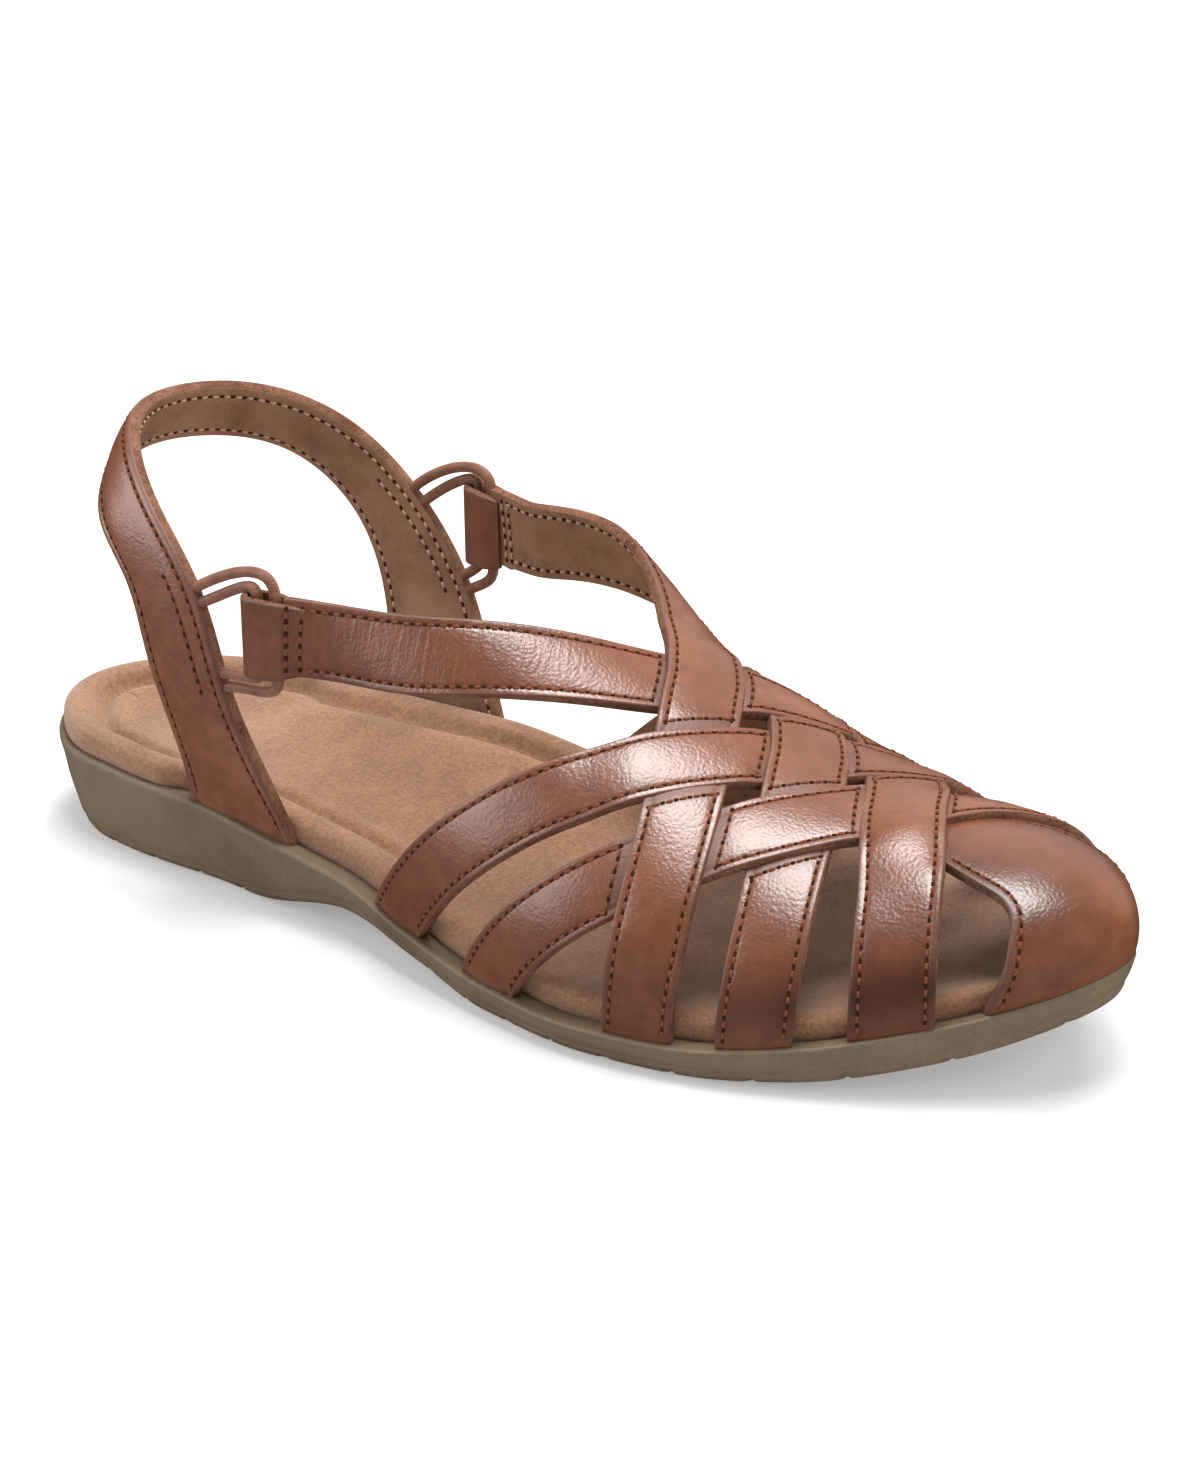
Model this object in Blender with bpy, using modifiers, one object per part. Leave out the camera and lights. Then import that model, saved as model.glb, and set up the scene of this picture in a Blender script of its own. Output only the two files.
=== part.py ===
"""Right slingback sandal, one shoe, unworn: a moulded outsole, a cupped footbed, a woven upper of six
straps over a toe cap, a padded heel strap and two pairs of elastic loops.

Tables are in millimetres: x runs from the back of the heel to the toe, y is plus on the medial side,
z is the height above the ground. A frame empty then stands the shoe over the origin, in metres.
"""

import math
from collections import namedtuple

import bmesh
import bpy
import numpy as np

for leftover in list(bpy.data.objects):
    bpy.data.objects.remove(leftover, do_unlink=True)

MM = 0.001
FIT_GAP = 0.3
FINE_STEPS = 2000
SMOOTH_ANGLE = math.radians(38)

# Sole sizes
SOLE_LENGTH = 260.0
SOLE_STEPS = 34
LEDGE = 1.6
WALL = 2.2
INSET = LEDGE + WALL
SOLE_ACROSS = 5
UNDERCUT_END = 30.0
DISH_SPAN = 30.0
DISH_SHARE = 0.5

SoleRow = namedtuple("SoleRow", "x lateral medial")
SOLE_PLAN = (
    SoleRow(3, 11.0, 11.0),
    SoleRow(12, 21.6, 21.6),
    SoleRow(33, 29.0, 30.2),
    SoleRow(65, 31.4, 31.2),
    SoleRow(95, 35.1, 30.4),
    SoleRow(120, 42.4, 33.4),
    SoleRow(145, 49.0, 39.2),
    SoleRow(170, 52.3, 44.8),
    SoleRow(195, 48.8, 46.8),
    SoleRow(215, 41.4, 44.0),
    SoleRow(235, 30.2, 32.6),
    SoleRow(250, 18.6, 18.4),
    SoleRow(257, 9.8, 9.0),
)
EdgeRow = namedtuple("EdgeRow", "x bottom lateral medial")
SOLE_EDGE = (
    EdgeRow(0, 3.0, 19.8, 19.8),
    EdgeRow(18, 0.0, 19.8, 19.8),
    EdgeRow(40, 0.0, 19.2, 19.6),
    EdgeRow(70, 0.0, 17.0, 19.0),
    EdgeRow(98, 5.0, 13.6, 17.5),
    EdgeRow(122, 3.0, 10.0, 14.0),
    EdgeRow(142, 0.0, 7.6, 9.6),
    EdgeRow(165, 0.0, 6.9, 7.4),
    EdgeRow(188, 0.0, 7.2, 7.4),
    EdgeRow(210, 1.7, 9.7, 9.7),
    EdgeRow(235, 7.6, 15.0, 15.0),
    EdgeRow(252, 13.4, 19.2, 19.2),
    EdgeRow(260, 16.4, 21.0, 21.0),
)

# Rings of the outsole's side wall, from the ground up: share of the wall's height, inset, heel undercut
WallRow = namedtuple("WallRow", "share inset undercut")
OUTSOLE_WALL = (
    WallRow(0.00, 4.4, 4.5),
    WallRow(0.04, 3.2, 4.2),
    WallRow(0.14, 2.4, 3.4),
    WallRow(0.36, 1.7, 2.0),
    WallRow(0.40, 1.2, 1.8),
    WallRow(0.80, 0.3, 0.4),
    WallRow(0.92, 0.0, 0.0),
    WallRow(1.00, 0.7, 0.0),
    WallRow(1.00, 5.0, 0.0),
)

# Footbed: how far its side stands in from the sole's edge, and how high its rim stands
TuckRow = namedtuple("TuckRow", "x tuck")
FOOTBED_TUCK = (
    TuckRow(0, 1.2),
    TuckRow(36, 1.2),
    TuckRow(48, INSET + FIT_GAP),
    TuckRow(260, INSET + FIT_GAP),
)
RimRow = namedtuple("RimRow", "x lateral medial dip")
FOOTBED_RIM = (
    RimRow(0, 5.2, 5.2, 2.6),
    RimRow(35, 5.0, 5.6, 3.0),
    RimRow(70, 5.2, 7.6, 2.6),
    RimRow(100, 5.8, 10.0, 2.2),
    RimRow(130, 5.8, 8.2, 1.6),
    RimRow(165, 5.4, 5.8, 1.2),
    RimRow(210, 5.2, 5.2, 1.0),
    RimRow(260, 4.6, 4.6, 1.0),
)
BedRow = namedtuple("BedRow", "rise inset dip")
FOOTBED_SIDE = (
    BedRow(0.00, 1.2, 0.0),
    BedRow(0.22, 0.0, 0.0),
    BedRow(0.66, 0.1, 0.0),
    BedRow(0.92, 1.1, 0.0),
    BedRow(1.00, 2.8, 0.0),
    BedRow(0.97, 5.5, 0.1),
    BedRow(1.00, 9.5, 0.6),
    BedRow(1.00, 14.0, 1.0),
)

# Last inside the upper: ridge height and side position, fullness of the section on each side
LastRow = namedtuple("LastRow", "x top ridge lateral medial")
LAST = (
    LastRow(60, 128, 0, 2.2, 2.2),
    LastRow(83, 116, 0, 2.2, 2.2),
    LastRow(100, 101, 0, 2.2, 2.3),
    LastRow(125, 82, 1, 2.2, 3.7),
    LastRow(150, 63, 1, 2.2, 2.4),
    LastRow(170, 53, 1.5, 2.15, 2.0),
    LastRow(190, 44.8, 1.5, 2.1, 1.85),
    LastRow(210, 41, 1.5, 2.1, 1.85),
    LastRow(228, 39.5, 1.5, 2.2, 1.95),
    LastRow(242, 36.5, 1.5, 2.25, 2.05),
    LastRow(252, 29.5, 2, 2.3, 2.1),
)
FlareRow = namedtuple("FlareRow", "x flare")
ANKLE_FLARE = (
    FlareRow(60, 10),
    FlareRow(83, 8),
    FlareRow(100, 4.5),
    FlareRow(125, 1),
    FlareRow(150, 0),
)
FLARE_HEIGHT = 48.0
FLARE_LIMIT = 1.2
FLARE_TURN = 1.5
RIDGE_FADE = 20.0
TOE_TIP = SOLE_LENGTH - INSET
TOE_POWER = 4
TOE_CENTRE = 225.0
SIDE_BULGE = 2.2
TOE_BULGE = 2.0
TOE_BULGE_RUN = 18.0
BULGE_POWER = 0.75
BULGE_CORE = 5.0

# Woven straps on the last: x, width and turn, which runs from -1 at the lateral feather to 1 at the medial
STRAP_WIDTH = 16.4
STRAP_STEP = 5.4
STRAP_ACROSS = (-1, -0.5, 0, 0.5, 1)
WALK_STEP = 1.5
LAYER_SINK = 0.4
LIFT_MARGIN = 1.2
LIFT_FADE = 8.0
StrapRow = namedtuple("StrapRow", "x turn width")
STRAPS = {
    "ankle_lateral": (
        StrapRow(83, -0.685, 16.4),
        StrapRow(104, -0.605, 15.2),
        StrapRow(124, -0.46, 14.8),
        StrapRow(141, -0.265, 15.0),
        StrapRow(162, -0.01, 15.6),
        StrapRow(177, 0.29, 15.0),
        StrapRow(185.5, 0.62, 14.6),
        StrapRow(186, 1.12, 14.4),
    ),
    "ankle_medial": (
        StrapRow(83, 0.69, 16.4),
        StrapRow(105, 0.6, 16.4),
        StrapRow(130, 0.5, 16.4),
        StrapRow(148.5, 0.28, 16.4),
        StrapRow(164.5, -0.045, 16.2),
        StrapRow(176.5, -0.345, 14.8),
        StrapRow(182.5, -0.72, 14.4),
        StrapRow(180.5, -1.12, 14.4),
    ),
    "instep_lateral": (
        StrapRow(107, -1.12, 13.8),
        StrapRow(127.5, -0.865, 13.8),
        StrapRow(149, -0.585, 14.0),
        StrapRow(166, -0.338, 14.4),
        StrapRow(180.5, -0.11, 14.0),
        StrapRow(192.5, 0.115, 13.8),
        StrapRow(204, 0.42, 14.2),
        StrapRow(211.5, 0.76, 14.4),
        StrapRow(211, 1.12, 14.4),
    ),
    "instep_medial": (
        StrapRow(112, 1.12, 14.6),
        StrapRow(133, 0.86, 14.8),
        StrapRow(153.5, 0.59, 15.2),
        StrapRow(170.5, 0.29, 15.8),
        StrapRow(184, 0.06, 16.4),
        StrapRow(193, -0.14, 16.0),
        StrapRow(200.8, -0.4, 15.0),
        StrapRow(205, -0.77, 14.6),
        StrapRow(203, -1.12, 14.4),
    ),
    "toe_lateral": (
        StrapRow(138.5, -1.12, 13.2),
        StrapRow(151, -0.893, 13.2),
        StrapRow(167, -0.665, 13.4),
        StrapRow(181, -0.467, 13.8),
        StrapRow(196, -0.24, 14.4),
        StrapRow(209.5, -0.02, 14.6),
        StrapRow(222, 0.26, 14.6),
        StrapRow(230.5, 0.58, 14.6),
        StrapRow(232, 1.12, 14.4),
    ),
    "toe_medial": (
        StrapRow(140, 1.12, 14.6),
        StrapRow(155, 0.87, 14.8),
        StrapRow(172.5, 0.63, 15.2),
        StrapRow(189.5, 0.375, 15.8),
        StrapRow(204.5, 0.11, 16.4),
        StrapRow(213, -0.08, 16.4),
        StrapRow(223, -0.39, 16.2),
        StrapRow(227.5, -0.76, 16.0),
        StrapRow(226.5, -1.12, 16.0),
    ),
}
STRAP_LIES_OVER = {
    "ankle_lateral": ("instep_medial",),
    "ankle_medial": ("ankle_lateral", "toe_lateral"),
    "instep_lateral": ("ankle_medial", "toe_medial"),
    "instep_medial": ("instep_lateral",),
    "toe_lateral": ("instep_medial",),
    "toe_medial": ("ankle_lateral", "toe_lateral"),
}
STRAPS_OVER_CAP = ("toe_lateral", "toe_medial")

# Toe cap: where its rear edge runs
CapRow = namedtuple("CapRow", "turn rear")
TOE_CAP = (
    CapRow(-1.12, 240),
    CapRow(-0.9, 242),
    CapRow(-0.7, 243),
    CapRow(-0.53, 242.2),
    CapRow(-0.43, 241),
    CapRow(-0.35, 238.5),
    CapRow(-0.265, 231.5),
    CapRow(-0.15, 221),
    CapRow(0, 219),
    CapRow(0.13, 223),
    CapRow(0.25, 231),
    CapRow(0.36, 240),
    CapRow(0.52, 244.5),
    CapRow(0.75, 245),
    CapRow(1.12, 243),
)
CAP_COLUMNS = 30
CAP_ROWS = 11
TIP_PINCH = 0.02
CAP_LAP_TURN = 0.6
CAP_LAP_FRONT = TOE_TIP - 8.0
CAP_LAP_COLUMNS = 32
CAP_LAP_ROWS = 15
CAP_LIFT = 3.0

# Slab that trims the straps just above the sole's ledge
CUT_START = 40.0
CUT_END = 285.0
CUT_STEPS = 60
CUT_HALF_WIDTH = 80.0
CUT_CROWN = 22.0
CUT_DEPTH = 40.0

# Heel strap: its front or upper edge and its rear or lower edge, from the sole to the back of the heel
HeelRow = namedtuple("HeelRow", "x_front spread_front z_front x_rear spread_rear z_rear forward pinch")
HEEL_STRAP = (
    HeelRow(86, 30.4, 8, 55, 28.1, 10, 13, 3.0),
    HeelRow(83.5, 31.3, 16, 54.5, 28.9, 20, 12, 3.2),
    HeelRow(75.8, 33.5, 36, 54, 32.0, 36, 11, 1.6),
    HeelRow(71.2, 35.5, 51, 51, 34.8, 52, 8, 0.4),
    HeelRow(65, 35.3, 69, 46, 34.0, 66.5, 1, 0.0),
    HeelRow(51.5, 31.0, 82.8, 36, 29.5, 75, 0, 0.0),
    HeelRow(36, 19.0, 91.5, 27, 17.5, 80, 0, 0.0),
    HeelRow(27, 0.0, 93.5, 21.5, 0.0, 81.5, 0, 0.0),
)
HEEL_STEPS = 44
HEEL_EDGE_STEPS = 240
HEEL_EDGE = 2.2
HEEL_PAD = 3.6
HEEL_PAD_POWER = 0.6
HEEL_PAD_INSIDE = 0.45
HEEL_ACROSS = 6
HEEL_REAR_FORWARD = 0.6
HEEL_CENTRE = (60.0, 0.0, 60.0)

# Tunnels at the free ends of the ankle straps, and the elastic loops through them
TUNNEL_LENGTH = 13.0
TUNNEL_THICK = 6.6
TUNNEL_SHOULDER = 4.4
TUNNEL_TAPER = 3.2
TUNNEL_ARC = 9
SLOT_LENGTH = 7.6
SLOT_THICK = 3.1
SLOT_ARC = 7
CORD = 2.3
CORD_PITCH = 4.2
CORD_LEAD = 0.5
CORD_STEPS_OVER = 10
CORD_STEPS_UNDER = 9
LoopRow = namedtuple("LoopRow", "name pull top bottom arch tuck")
LOOPS = (
    LoopRow("outer", CORD_PITCH, 70.4, 49.4, 0.44, 0.42),
    LoopRow("inner", 0.0, 66.4, 53.0, 0.34, 0.22),
)

LookRow = namedtuple("LookRow", "colour roughness")
RUBBER = LookRow((0.20, 0.16, 0.10), 0.55)
SUEDE = LookRow((0.50, 0.29, 0.16), 0.9)
LEATHER = LookRow((0.30, 0.11, 0.06), 0.4)
ELASTIC = LookRow((0.24, 0.10, 0.06), 0.7)


def column(rows, name):
    return np.array([getattr(row, name) for row in rows], float)


def smooth(knots, values, at):
    """Monotone cubic through the knots: it never overshoots a row, so equal rows stay exactly flat."""
    knots = np.asarray(knots, float)
    values = np.asarray(values, float)
    at = np.asarray(at, float)
    step = np.diff(knots)
    rise = np.diff(values) / step
    slope = np.zeros_like(values)
    heavy = 2 * step[1:] + step[:-1]
    light = step[1:] + 2 * step[:-1]
    turning = rise[:-1] * rise[1:] <= 0
    safe = np.where(turning, 1.0, rise[:-1])
    other = np.where(turning, 1.0, rise[1:])
    slope[1:-1] = np.where(turning, 0.0, (heavy + light) / (heavy / safe + light / other))
    slope[0] = rise[0]
    slope[-1] = rise[-1]
    cell = np.clip(np.searchsorted(knots, at) - 1, 0, len(step) - 1)
    t = np.clip((at - knots[cell]) / step[cell], 0, 1)
    start = (1 + 2 * t) * (1 - t) ** 2 * values[cell] + t * (1 - t) ** 2 * step[cell] * slope[cell]
    end = t * t * (3 - 2 * t) * values[cell + 1] + t * t * (t - 1) * step[cell] * slope[cell + 1]
    return start + end


def flowing(knots, values, at):
    """Natural cubic through the knots, for lines that should bend evenly."""
    knots = np.asarray(knots, float)
    values = np.asarray(values, float)
    step = np.diff(knots)
    count = len(knots)
    system = np.eye(count)
    bend = np.zeros(count)
    for i in range(1, count - 1):
        system[i, i - 1 : i + 2] = step[i - 1], 2 * (step[i - 1] + step[i]), step[i]
        bend[i] = 6 * ((values[i + 1] - values[i]) / step[i] - (values[i] - values[i - 1]) / step[i - 1])
    curve = np.linalg.solve(system, bend)
    cell = np.clip(np.searchsorted(knots, at) - 1, 0, count - 2)
    a = (knots[cell + 1] - at) / step[cell]
    b = 1 - a
    sag = ((a**3 - a) * curve[cell] + (b**3 - b) * curve[cell + 1]) * step[cell] ** 2 / 6
    return a * values[cell] + b * values[cell + 1] + sag


def end_round(x):
    share = np.clip(np.asarray(x, float) / SOLE_LENGTH, 0, 1)
    return 2 * np.sqrt(share * (1 - share))


def half_width(x, side):
    at = column(SOLE_PLAN, "x")
    return smooth(at, column(SOLE_PLAN, side) / end_round(at), x) * end_round(x)


def outline(side, inset, steps):
    """One side of the sole's plan from heel to toe, moved inwards along its normals."""
    phase = np.linspace(0, math.pi, steps + 1)
    fine = np.linspace(0, math.pi, FINE_STEPS + 1)
    x = SOLE_LENGTH * (1 - np.cos(fine)) / 2
    y = half_width(x, side)
    dx = np.gradient(x, fine)
    dy = np.gradient(y, fine)
    length = np.hypot(dx, dy)
    dx[[0, -1]] = 0
    dy[0] = abs(dy[0])
    length[[0, -1]] = abs(dy[[0, -1]])
    x = np.interp(phase, fine, x)
    y = np.interp(phase, fine, y)
    inset = inset(x) if callable(inset) else inset
    return x + inset * np.interp(phase, fine, dy / length), y - inset * np.interp(phase, fine, dx / length)


FEATHER = {side: outline(side, INSET, FINE_STEPS) for side in ("lateral", "medial")}


def feather_width(x, side):
    line_x, line_y = FEATHER[side]
    low = line_x[0]
    span = line_x[-1] - low
    phase = np.arccos(np.clip(1 - 2 * (np.asarray(x, float) - low) / span, -1, 1))
    known = np.arccos(np.clip(1 - 2 * (line_x - low) / span, -1, 1))
    return np.interp(phase, known, np.maximum(line_y, 0))


def edge_height(x, side):
    return smooth(column(SOLE_EDGE, "x"), column(SOLE_EDGE, side), x)


def bottom_height(x):
    return smooth(column(SOLE_EDGE, "x"), column(SOLE_EDGE, "bottom"), x)


def toe_round(x):
    share = np.clip(np.asarray(x, float) / TOE_TIP, 0, 1)
    return np.sqrt(1 - share**TOE_POWER)


def last_point(x, turn):
    """Point of the last: a superellipse section at x, its angle set by turn, bulged outwards in plan."""
    x, turn = np.broadcast_arrays(np.asarray(x, float), np.asarray(turn, float))
    at = column(LAST, "x")
    lateral = edge_height(x, "lateral")
    medial = edge_height(x, "medial")
    middle = (edge_height(at, "lateral") + edge_height(at, "medial")) / 2
    full = smooth(at, (column(LAST, "top") - middle) / toe_round(at), x)
    feather = np.where(turn < 0, lateral, medial)
    height = (lateral + medial) / 2 + full * toe_round(x) - feather
    width = np.where(turn < 0, -feather_width(x, "lateral"), feather_width(x, "medial"))
    ridge = smooth(at, column(LAST, "ridge"), x) * np.minimum(1, np.abs(width) / RIDGE_FADE)
    lateral_power = smooth(at, column(LAST, "lateral"), x)
    power = np.where(turn < 0, lateral_power, smooth(at, column(LAST, "medial"), x))
    sine = np.abs(np.sin(turn * math.pi / 2))
    cosine = np.cos(turn * math.pi / 2)
    radius = (sine**power + np.abs(cosine) ** power) ** (-1 / power)
    y = ridge + (width - ridge) * radius * sine
    z = feather + height * radius * cosine
    above = np.clip(z - feather, 0, None)
    flare = smooth(column(ANKLE_FLARE, "x"), column(ANKLE_FLARE, "flare"), x)
    raised = np.clip(above / FLARE_HEIGHT, 0, FLARE_LIMIT)
    y = y + np.sign(width) * flare * raised * np.clip(FLARE_TURN * sine, 0, 1)
    ahead = np.maximum(x - TOE_CENTRE, 0)
    amount = SIDE_BULGE + TOE_BULGE * np.minimum(ahead / TOE_BULGE_RUN, 1)
    bulge = amount * np.sin(math.pi * np.clip(above / full, 0, 1) ** BULGE_POWER)
    aside = y - ridge
    reach = np.sqrt(ahead**2 + aside**2 + BULGE_CORE**2)
    return np.stack([x + bulge * ahead / reach, y + bulge * aside / reach, z], -1)


def last_frame(x, turn):
    """Two tangents and the outward normal of the last."""
    small_x, small_turn = 0.4, 0.004
    x = np.minimum(x, TOE_TIP - 2 * small_x)
    along = (last_point(x + small_x, turn) - last_point(x - small_x, turn)) / (2 * small_x)
    around = (last_point(x, turn + small_turn) - last_point(x, turn - small_turn)) / (2 * small_turn)
    normal = np.cross(along, around)
    normal /= np.linalg.norm(normal, axis=-1, keepdims=True)
    return along, around, normal


def unit(v):
    return v / np.linalg.norm(v, axis=-1, keepdims=True)


def fade(distance, full, fall):
    t = np.clip((distance - full) / fall, 0, 1)
    return 1 - t * t * (3 - 2 * t)


def strap_line(rows):
    """Centre line on the last at even steps, as x, turn and width."""
    x = column(rows, "x")
    turn = column(rows, "turn")
    points = last_point(x, turn)
    knots = np.r_[0, np.cumsum(np.linalg.norm(np.diff(points, axis=0), axis=1))]
    fine = np.linspace(0, knots[-1], FINE_STEPS)
    fine_x = flowing(knots, x, fine)
    fine_turn = flowing(knots, turn, fine)
    run = np.linalg.norm(np.diff(last_point(fine_x, fine_turn), axis=0), axis=1)
    walked = np.r_[0, np.cumsum(run)]
    steps = int(round(walked[-1] / STRAP_STEP))
    even = np.linspace(0, walked[-1], steps + 1)
    width = smooth(knots, column(rows, "width"), np.interp(even, walked, fine))
    return np.interp(even, walked, fine_x), np.interp(even, walked, fine_turn), width


def strap_grid(rows, across):
    """Points and normals of a band on the last: from the centre line it walks square to the line."""
    x, turn, width = strap_line(rows)
    widening = (width / STRAP_WIDTH)[:, None]
    centre = last_point(x, turn)
    heading = unit(np.gradient(centre, axis=0))
    points = {}
    normals = {}
    for sign in (-1, 1):
        here_x, here_turn, reached = x.copy(), turn.copy(), 0.0
        for offset in sorted({abs(a) for a in across}):
            parts = max(1, int(math.ceil((offset - reached) / WALK_STEP)))
            for _ in range(parts if offset > reached else 0):
                along, around, normal = last_frame(here_x, here_turn)
                side = unit(np.cross(normal, heading)) * widening * sign * (offset - reached) / parts
                basis = np.stack([along, around], -1)
                square = np.einsum("nij,nik->njk", basis, basis)
                pull = np.einsum("nij,ni->nj", basis, side)
                move = np.linalg.solve(square, pull[..., None])[..., 0]
                here_x = here_x + move[:, 0]
                here_turn = here_turn + move[:, 1]
            reached = offset
            points[sign * offset] = last_point(here_x, here_turn)
            normals[sign * offset] = last_frame(here_x, here_turn)[2]
    stack = np.stack([points[a] for a in across], 1)
    return stack, np.stack([normals[a] for a in across], 1), centre


def near_line(points, line):
    gaps = np.linalg.norm(points[..., None, :] - line, axis=-1)
    return gaps.min(axis=-1)


def solid(name, points, faces, where):
    mesh = bpy.data.meshes.new(name)
    mesh.from_pydata((np.asarray(points) * MM).tolist(), [], faces)
    mesh.validate()
    made = bpy.data.objects.new(name, mesh)
    where.objects.link(made)
    return made


def sheet(name, points, thickness, where):
    """Open grid of stations by columns, thickened outwards."""
    stations, columns = points.shape[:2]
    faces = []
    for i in range(stations - 1):
        for j in range(columns - 1):
            low, high = i * columns + j, (i + 1) * columns + j
            faces.append((low, high, high + 1, low + 1))
    made = solid(name, points.reshape(-1, 3), faces, where)
    skin = made.modifiers.new("thickness", "SOLIDIFY")
    skin.thickness = thickness * MM
    skin.offset = 1
    return made


def band_solid(name, inner, outer, where):
    """Closed loft between two grids of equal shape, stations by columns."""
    stations, columns = inner.shape[:2]
    ring = np.concatenate([inner, outer[:, ::-1]], axis=1)
    count = 2 * columns
    faces = []
    for i in range(stations - 1):
        for j in range(count):
            k = (j + 1) % count
            a, b = i * count, (i + 1) * count
            faces.append((a + j, a + k, b + k, b + j))
    for i, flip in ((0, False), (stations - 1, True)):
        for j in range(columns - 1):
            low, high = i * count + j, i * count + count - 1 - j
            cap = (low, high, high - 1, low + 1)
            faces.append(cap[::-1] if flip else cap)
    made = solid(name, ring.reshape(-1, 3), faces, where)
    face_out(made)
    return made


def face_out(made):
    """Turn a closed mesh round if its signed volume is below zero."""
    mesh = made.data
    mesh.calc_loop_triangles()
    points = np.empty(len(mesh.vertices) * 3)
    mesh.vertices.foreach_get("co", points)
    points = points.reshape(-1, 3)
    corners = np.empty(len(mesh.loop_triangles) * 3, int)
    mesh.loop_triangles.foreach_get("vertices", corners)
    if np.linalg.det(points[corners.reshape(-1, 3)]).sum() < 0:
        mesh.flip_normals()


def combine(target, other, operation):
    step = target.modifiers.new(operation.lower() + "_" + other.name, "BOOLEAN")
    step.operation = operation
    step.solver = "EXACT"
    step.object = other


def settle(made):
    """Replace a joined body's modifiers by its result, less the specks sealed between touching layers."""
    bpy.context.view_layer.update()
    graph = bpy.context.evaluated_depsgraph_get()
    mesh = bpy.data.meshes.new_from_object(made.evaluated_get(graph))
    made.modifiers.clear()
    made.data = mesh
    shell = bmesh.new()
    shell.from_mesh(mesh)
    shell.faces.ensure_lookup_table()
    seen = set()
    islands = []
    for first in shell.faces:
        if first in seen:
            continue
        seen.add(first)
        island = [first]
        for face in island:
            for edge in face.edges:
                for near in edge.link_faces if len(edge.link_faces) == 2 else ():
                    if near not in seen:
                        seen.add(near)
                        island.append(near)
        islands.append(island)
    islands.sort(key=len)
    for island in islands[:-1]:
        bmesh.ops.delete(shell, geom=island, context="FACES")
    shell.to_mesh(mesh)
    shell.free()


def ring_of(inset, height):
    """Closed ring of the sole's plan: lateral side from heel to toe, then the medial side back."""
    left = outline("lateral", inset, SOLE_STEPS)
    right = outline("medial", inset, SOLE_STEPS)
    lateral = np.stack([left[0], -left[1], height(left[0], "lateral")], -1)
    medial = np.stack([right[0], right[1], height(right[0], "medial")], -1)
    for end in (0, -1):
        lateral[end] = medial[end] = (lateral[end] + medial[end]) / 2
    return lateral, medial


def sole_solid(name, rings, dish, where):
    """Closed body from rings listed from the ground up, its two ends ruled from side to side."""
    count = 2 * SOLE_STEPS
    points = []
    for lateral, medial in rings:
        points.append(np.concatenate([lateral, medial[-2:0:-1]]))
    points = [row for ring in points for row in ring]
    faces = []
    for i in range(len(rings) - 1):
        for j in range(count):
            k = (j + 1) % count
            faces.append((i * count + j, i * count + k, (i + 1) * count + k, (i + 1) * count + j))
    for level, sag in ((0, None), (len(rings) - 1, dish)):
        lateral, medial = rings[level]
        rows = [[level * count]]
        for j in range(1, SOLE_STEPS):
            row = [level * count + j]
            for c in range(1, SOLE_ACROSS):
                t = c / SOLE_ACROSS
                point = lateral[j] * (1 - t) + medial[j] * t
                if sag is not None:
                    span = np.linalg.norm(medial[j] - lateral[j])
                    point[2] -= sag(point[0], t) * (1 - fade(span, 0, DISH_SPAN))
                row.append(len(points))
                points.append(point)
            row.append(level * count + count - j)
            rows.append(row)
        rows.append([level * count + SOLE_STEPS])
        for low, high in zip(rows[:-1], rows[1:]):
            for c in range(SOLE_ACROSS):
                first = (low[min(c, len(low) - 1)], low[min(c + 1, len(low) - 1)])
                second = (high[min(c + 1, len(high) - 1)], high[min(c, len(high) - 1)])
                face = list(dict.fromkeys(first + second))
                faces.append(face if level == 0 else face[::-1])
    made = solid(name, points, faces, where)
    face_out(made)
    return made


def make_outsole(where):
    rings = []
    for row in OUTSOLE_WALL:
        def inset(x, row=row):
            return row.inset + row.undercut * fade(x, 0, UNDERCUT_END)

        def height(x, side, row=row):
            low = bottom_height(x)
            return low + (edge_height(x, side) - low) * row.share

        rings.append(ring_of(inset, height))
    return sole_solid("outsole", rings, None, where)


def make_footbed(where):
    at = column(FOOTBED_RIM, "x")
    rings = []
    for row in FOOTBED_SIDE:
        def inset(x, row=row):
            tuck = smooth(column(FOOTBED_TUCK, "x"), column(FOOTBED_TUCK, "tuck"), x)
            return tuck + row.inset

        def height(x, side, row=row):
            rim = smooth(at, column(FOOTBED_RIM, side), x)
            dip = smooth(at, column(FOOTBED_RIM, "dip"), x)
            return edge_height(x, side) + FIT_GAP + (rim - FIT_GAP) * row.rise - dip * row.dip

        rings.append(ring_of(inset, height))

    def dish(x, t):
        dip = smooth(at, column(FOOTBED_RIM, "dip"), x)
        return DISH_SHARE * dip * math.sin(math.pi * t)

    return sole_solid("footbed", rings, dish, where)


def make_ground_cutter(where):
    """Slab whose top is the sole's edge line plus the fit gap, so every strap ends just above the ledge."""
    x = np.linspace(CUT_START, CUT_END, CUT_STEPS)
    inside = np.minimum(x, SOLE_LENGTH)
    low = edge_height(inside, "lateral") + FIT_GAP
    high = edge_height(inside, "medial") + FIT_GAP
    sides = ((-CUT_HALF_WIDTH, low), (-CUT_CROWN, low), (CUT_CROWN, high), (CUT_HALF_WIDTH, high))
    top = np.stack([np.stack([x, np.full_like(x, y), z], -1) for y, z in sides], 1)
    bottom = top.copy()
    bottom[..., 2] = -CUT_DEPTH
    return band_solid("ground_cutter", bottom, top, where)


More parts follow.
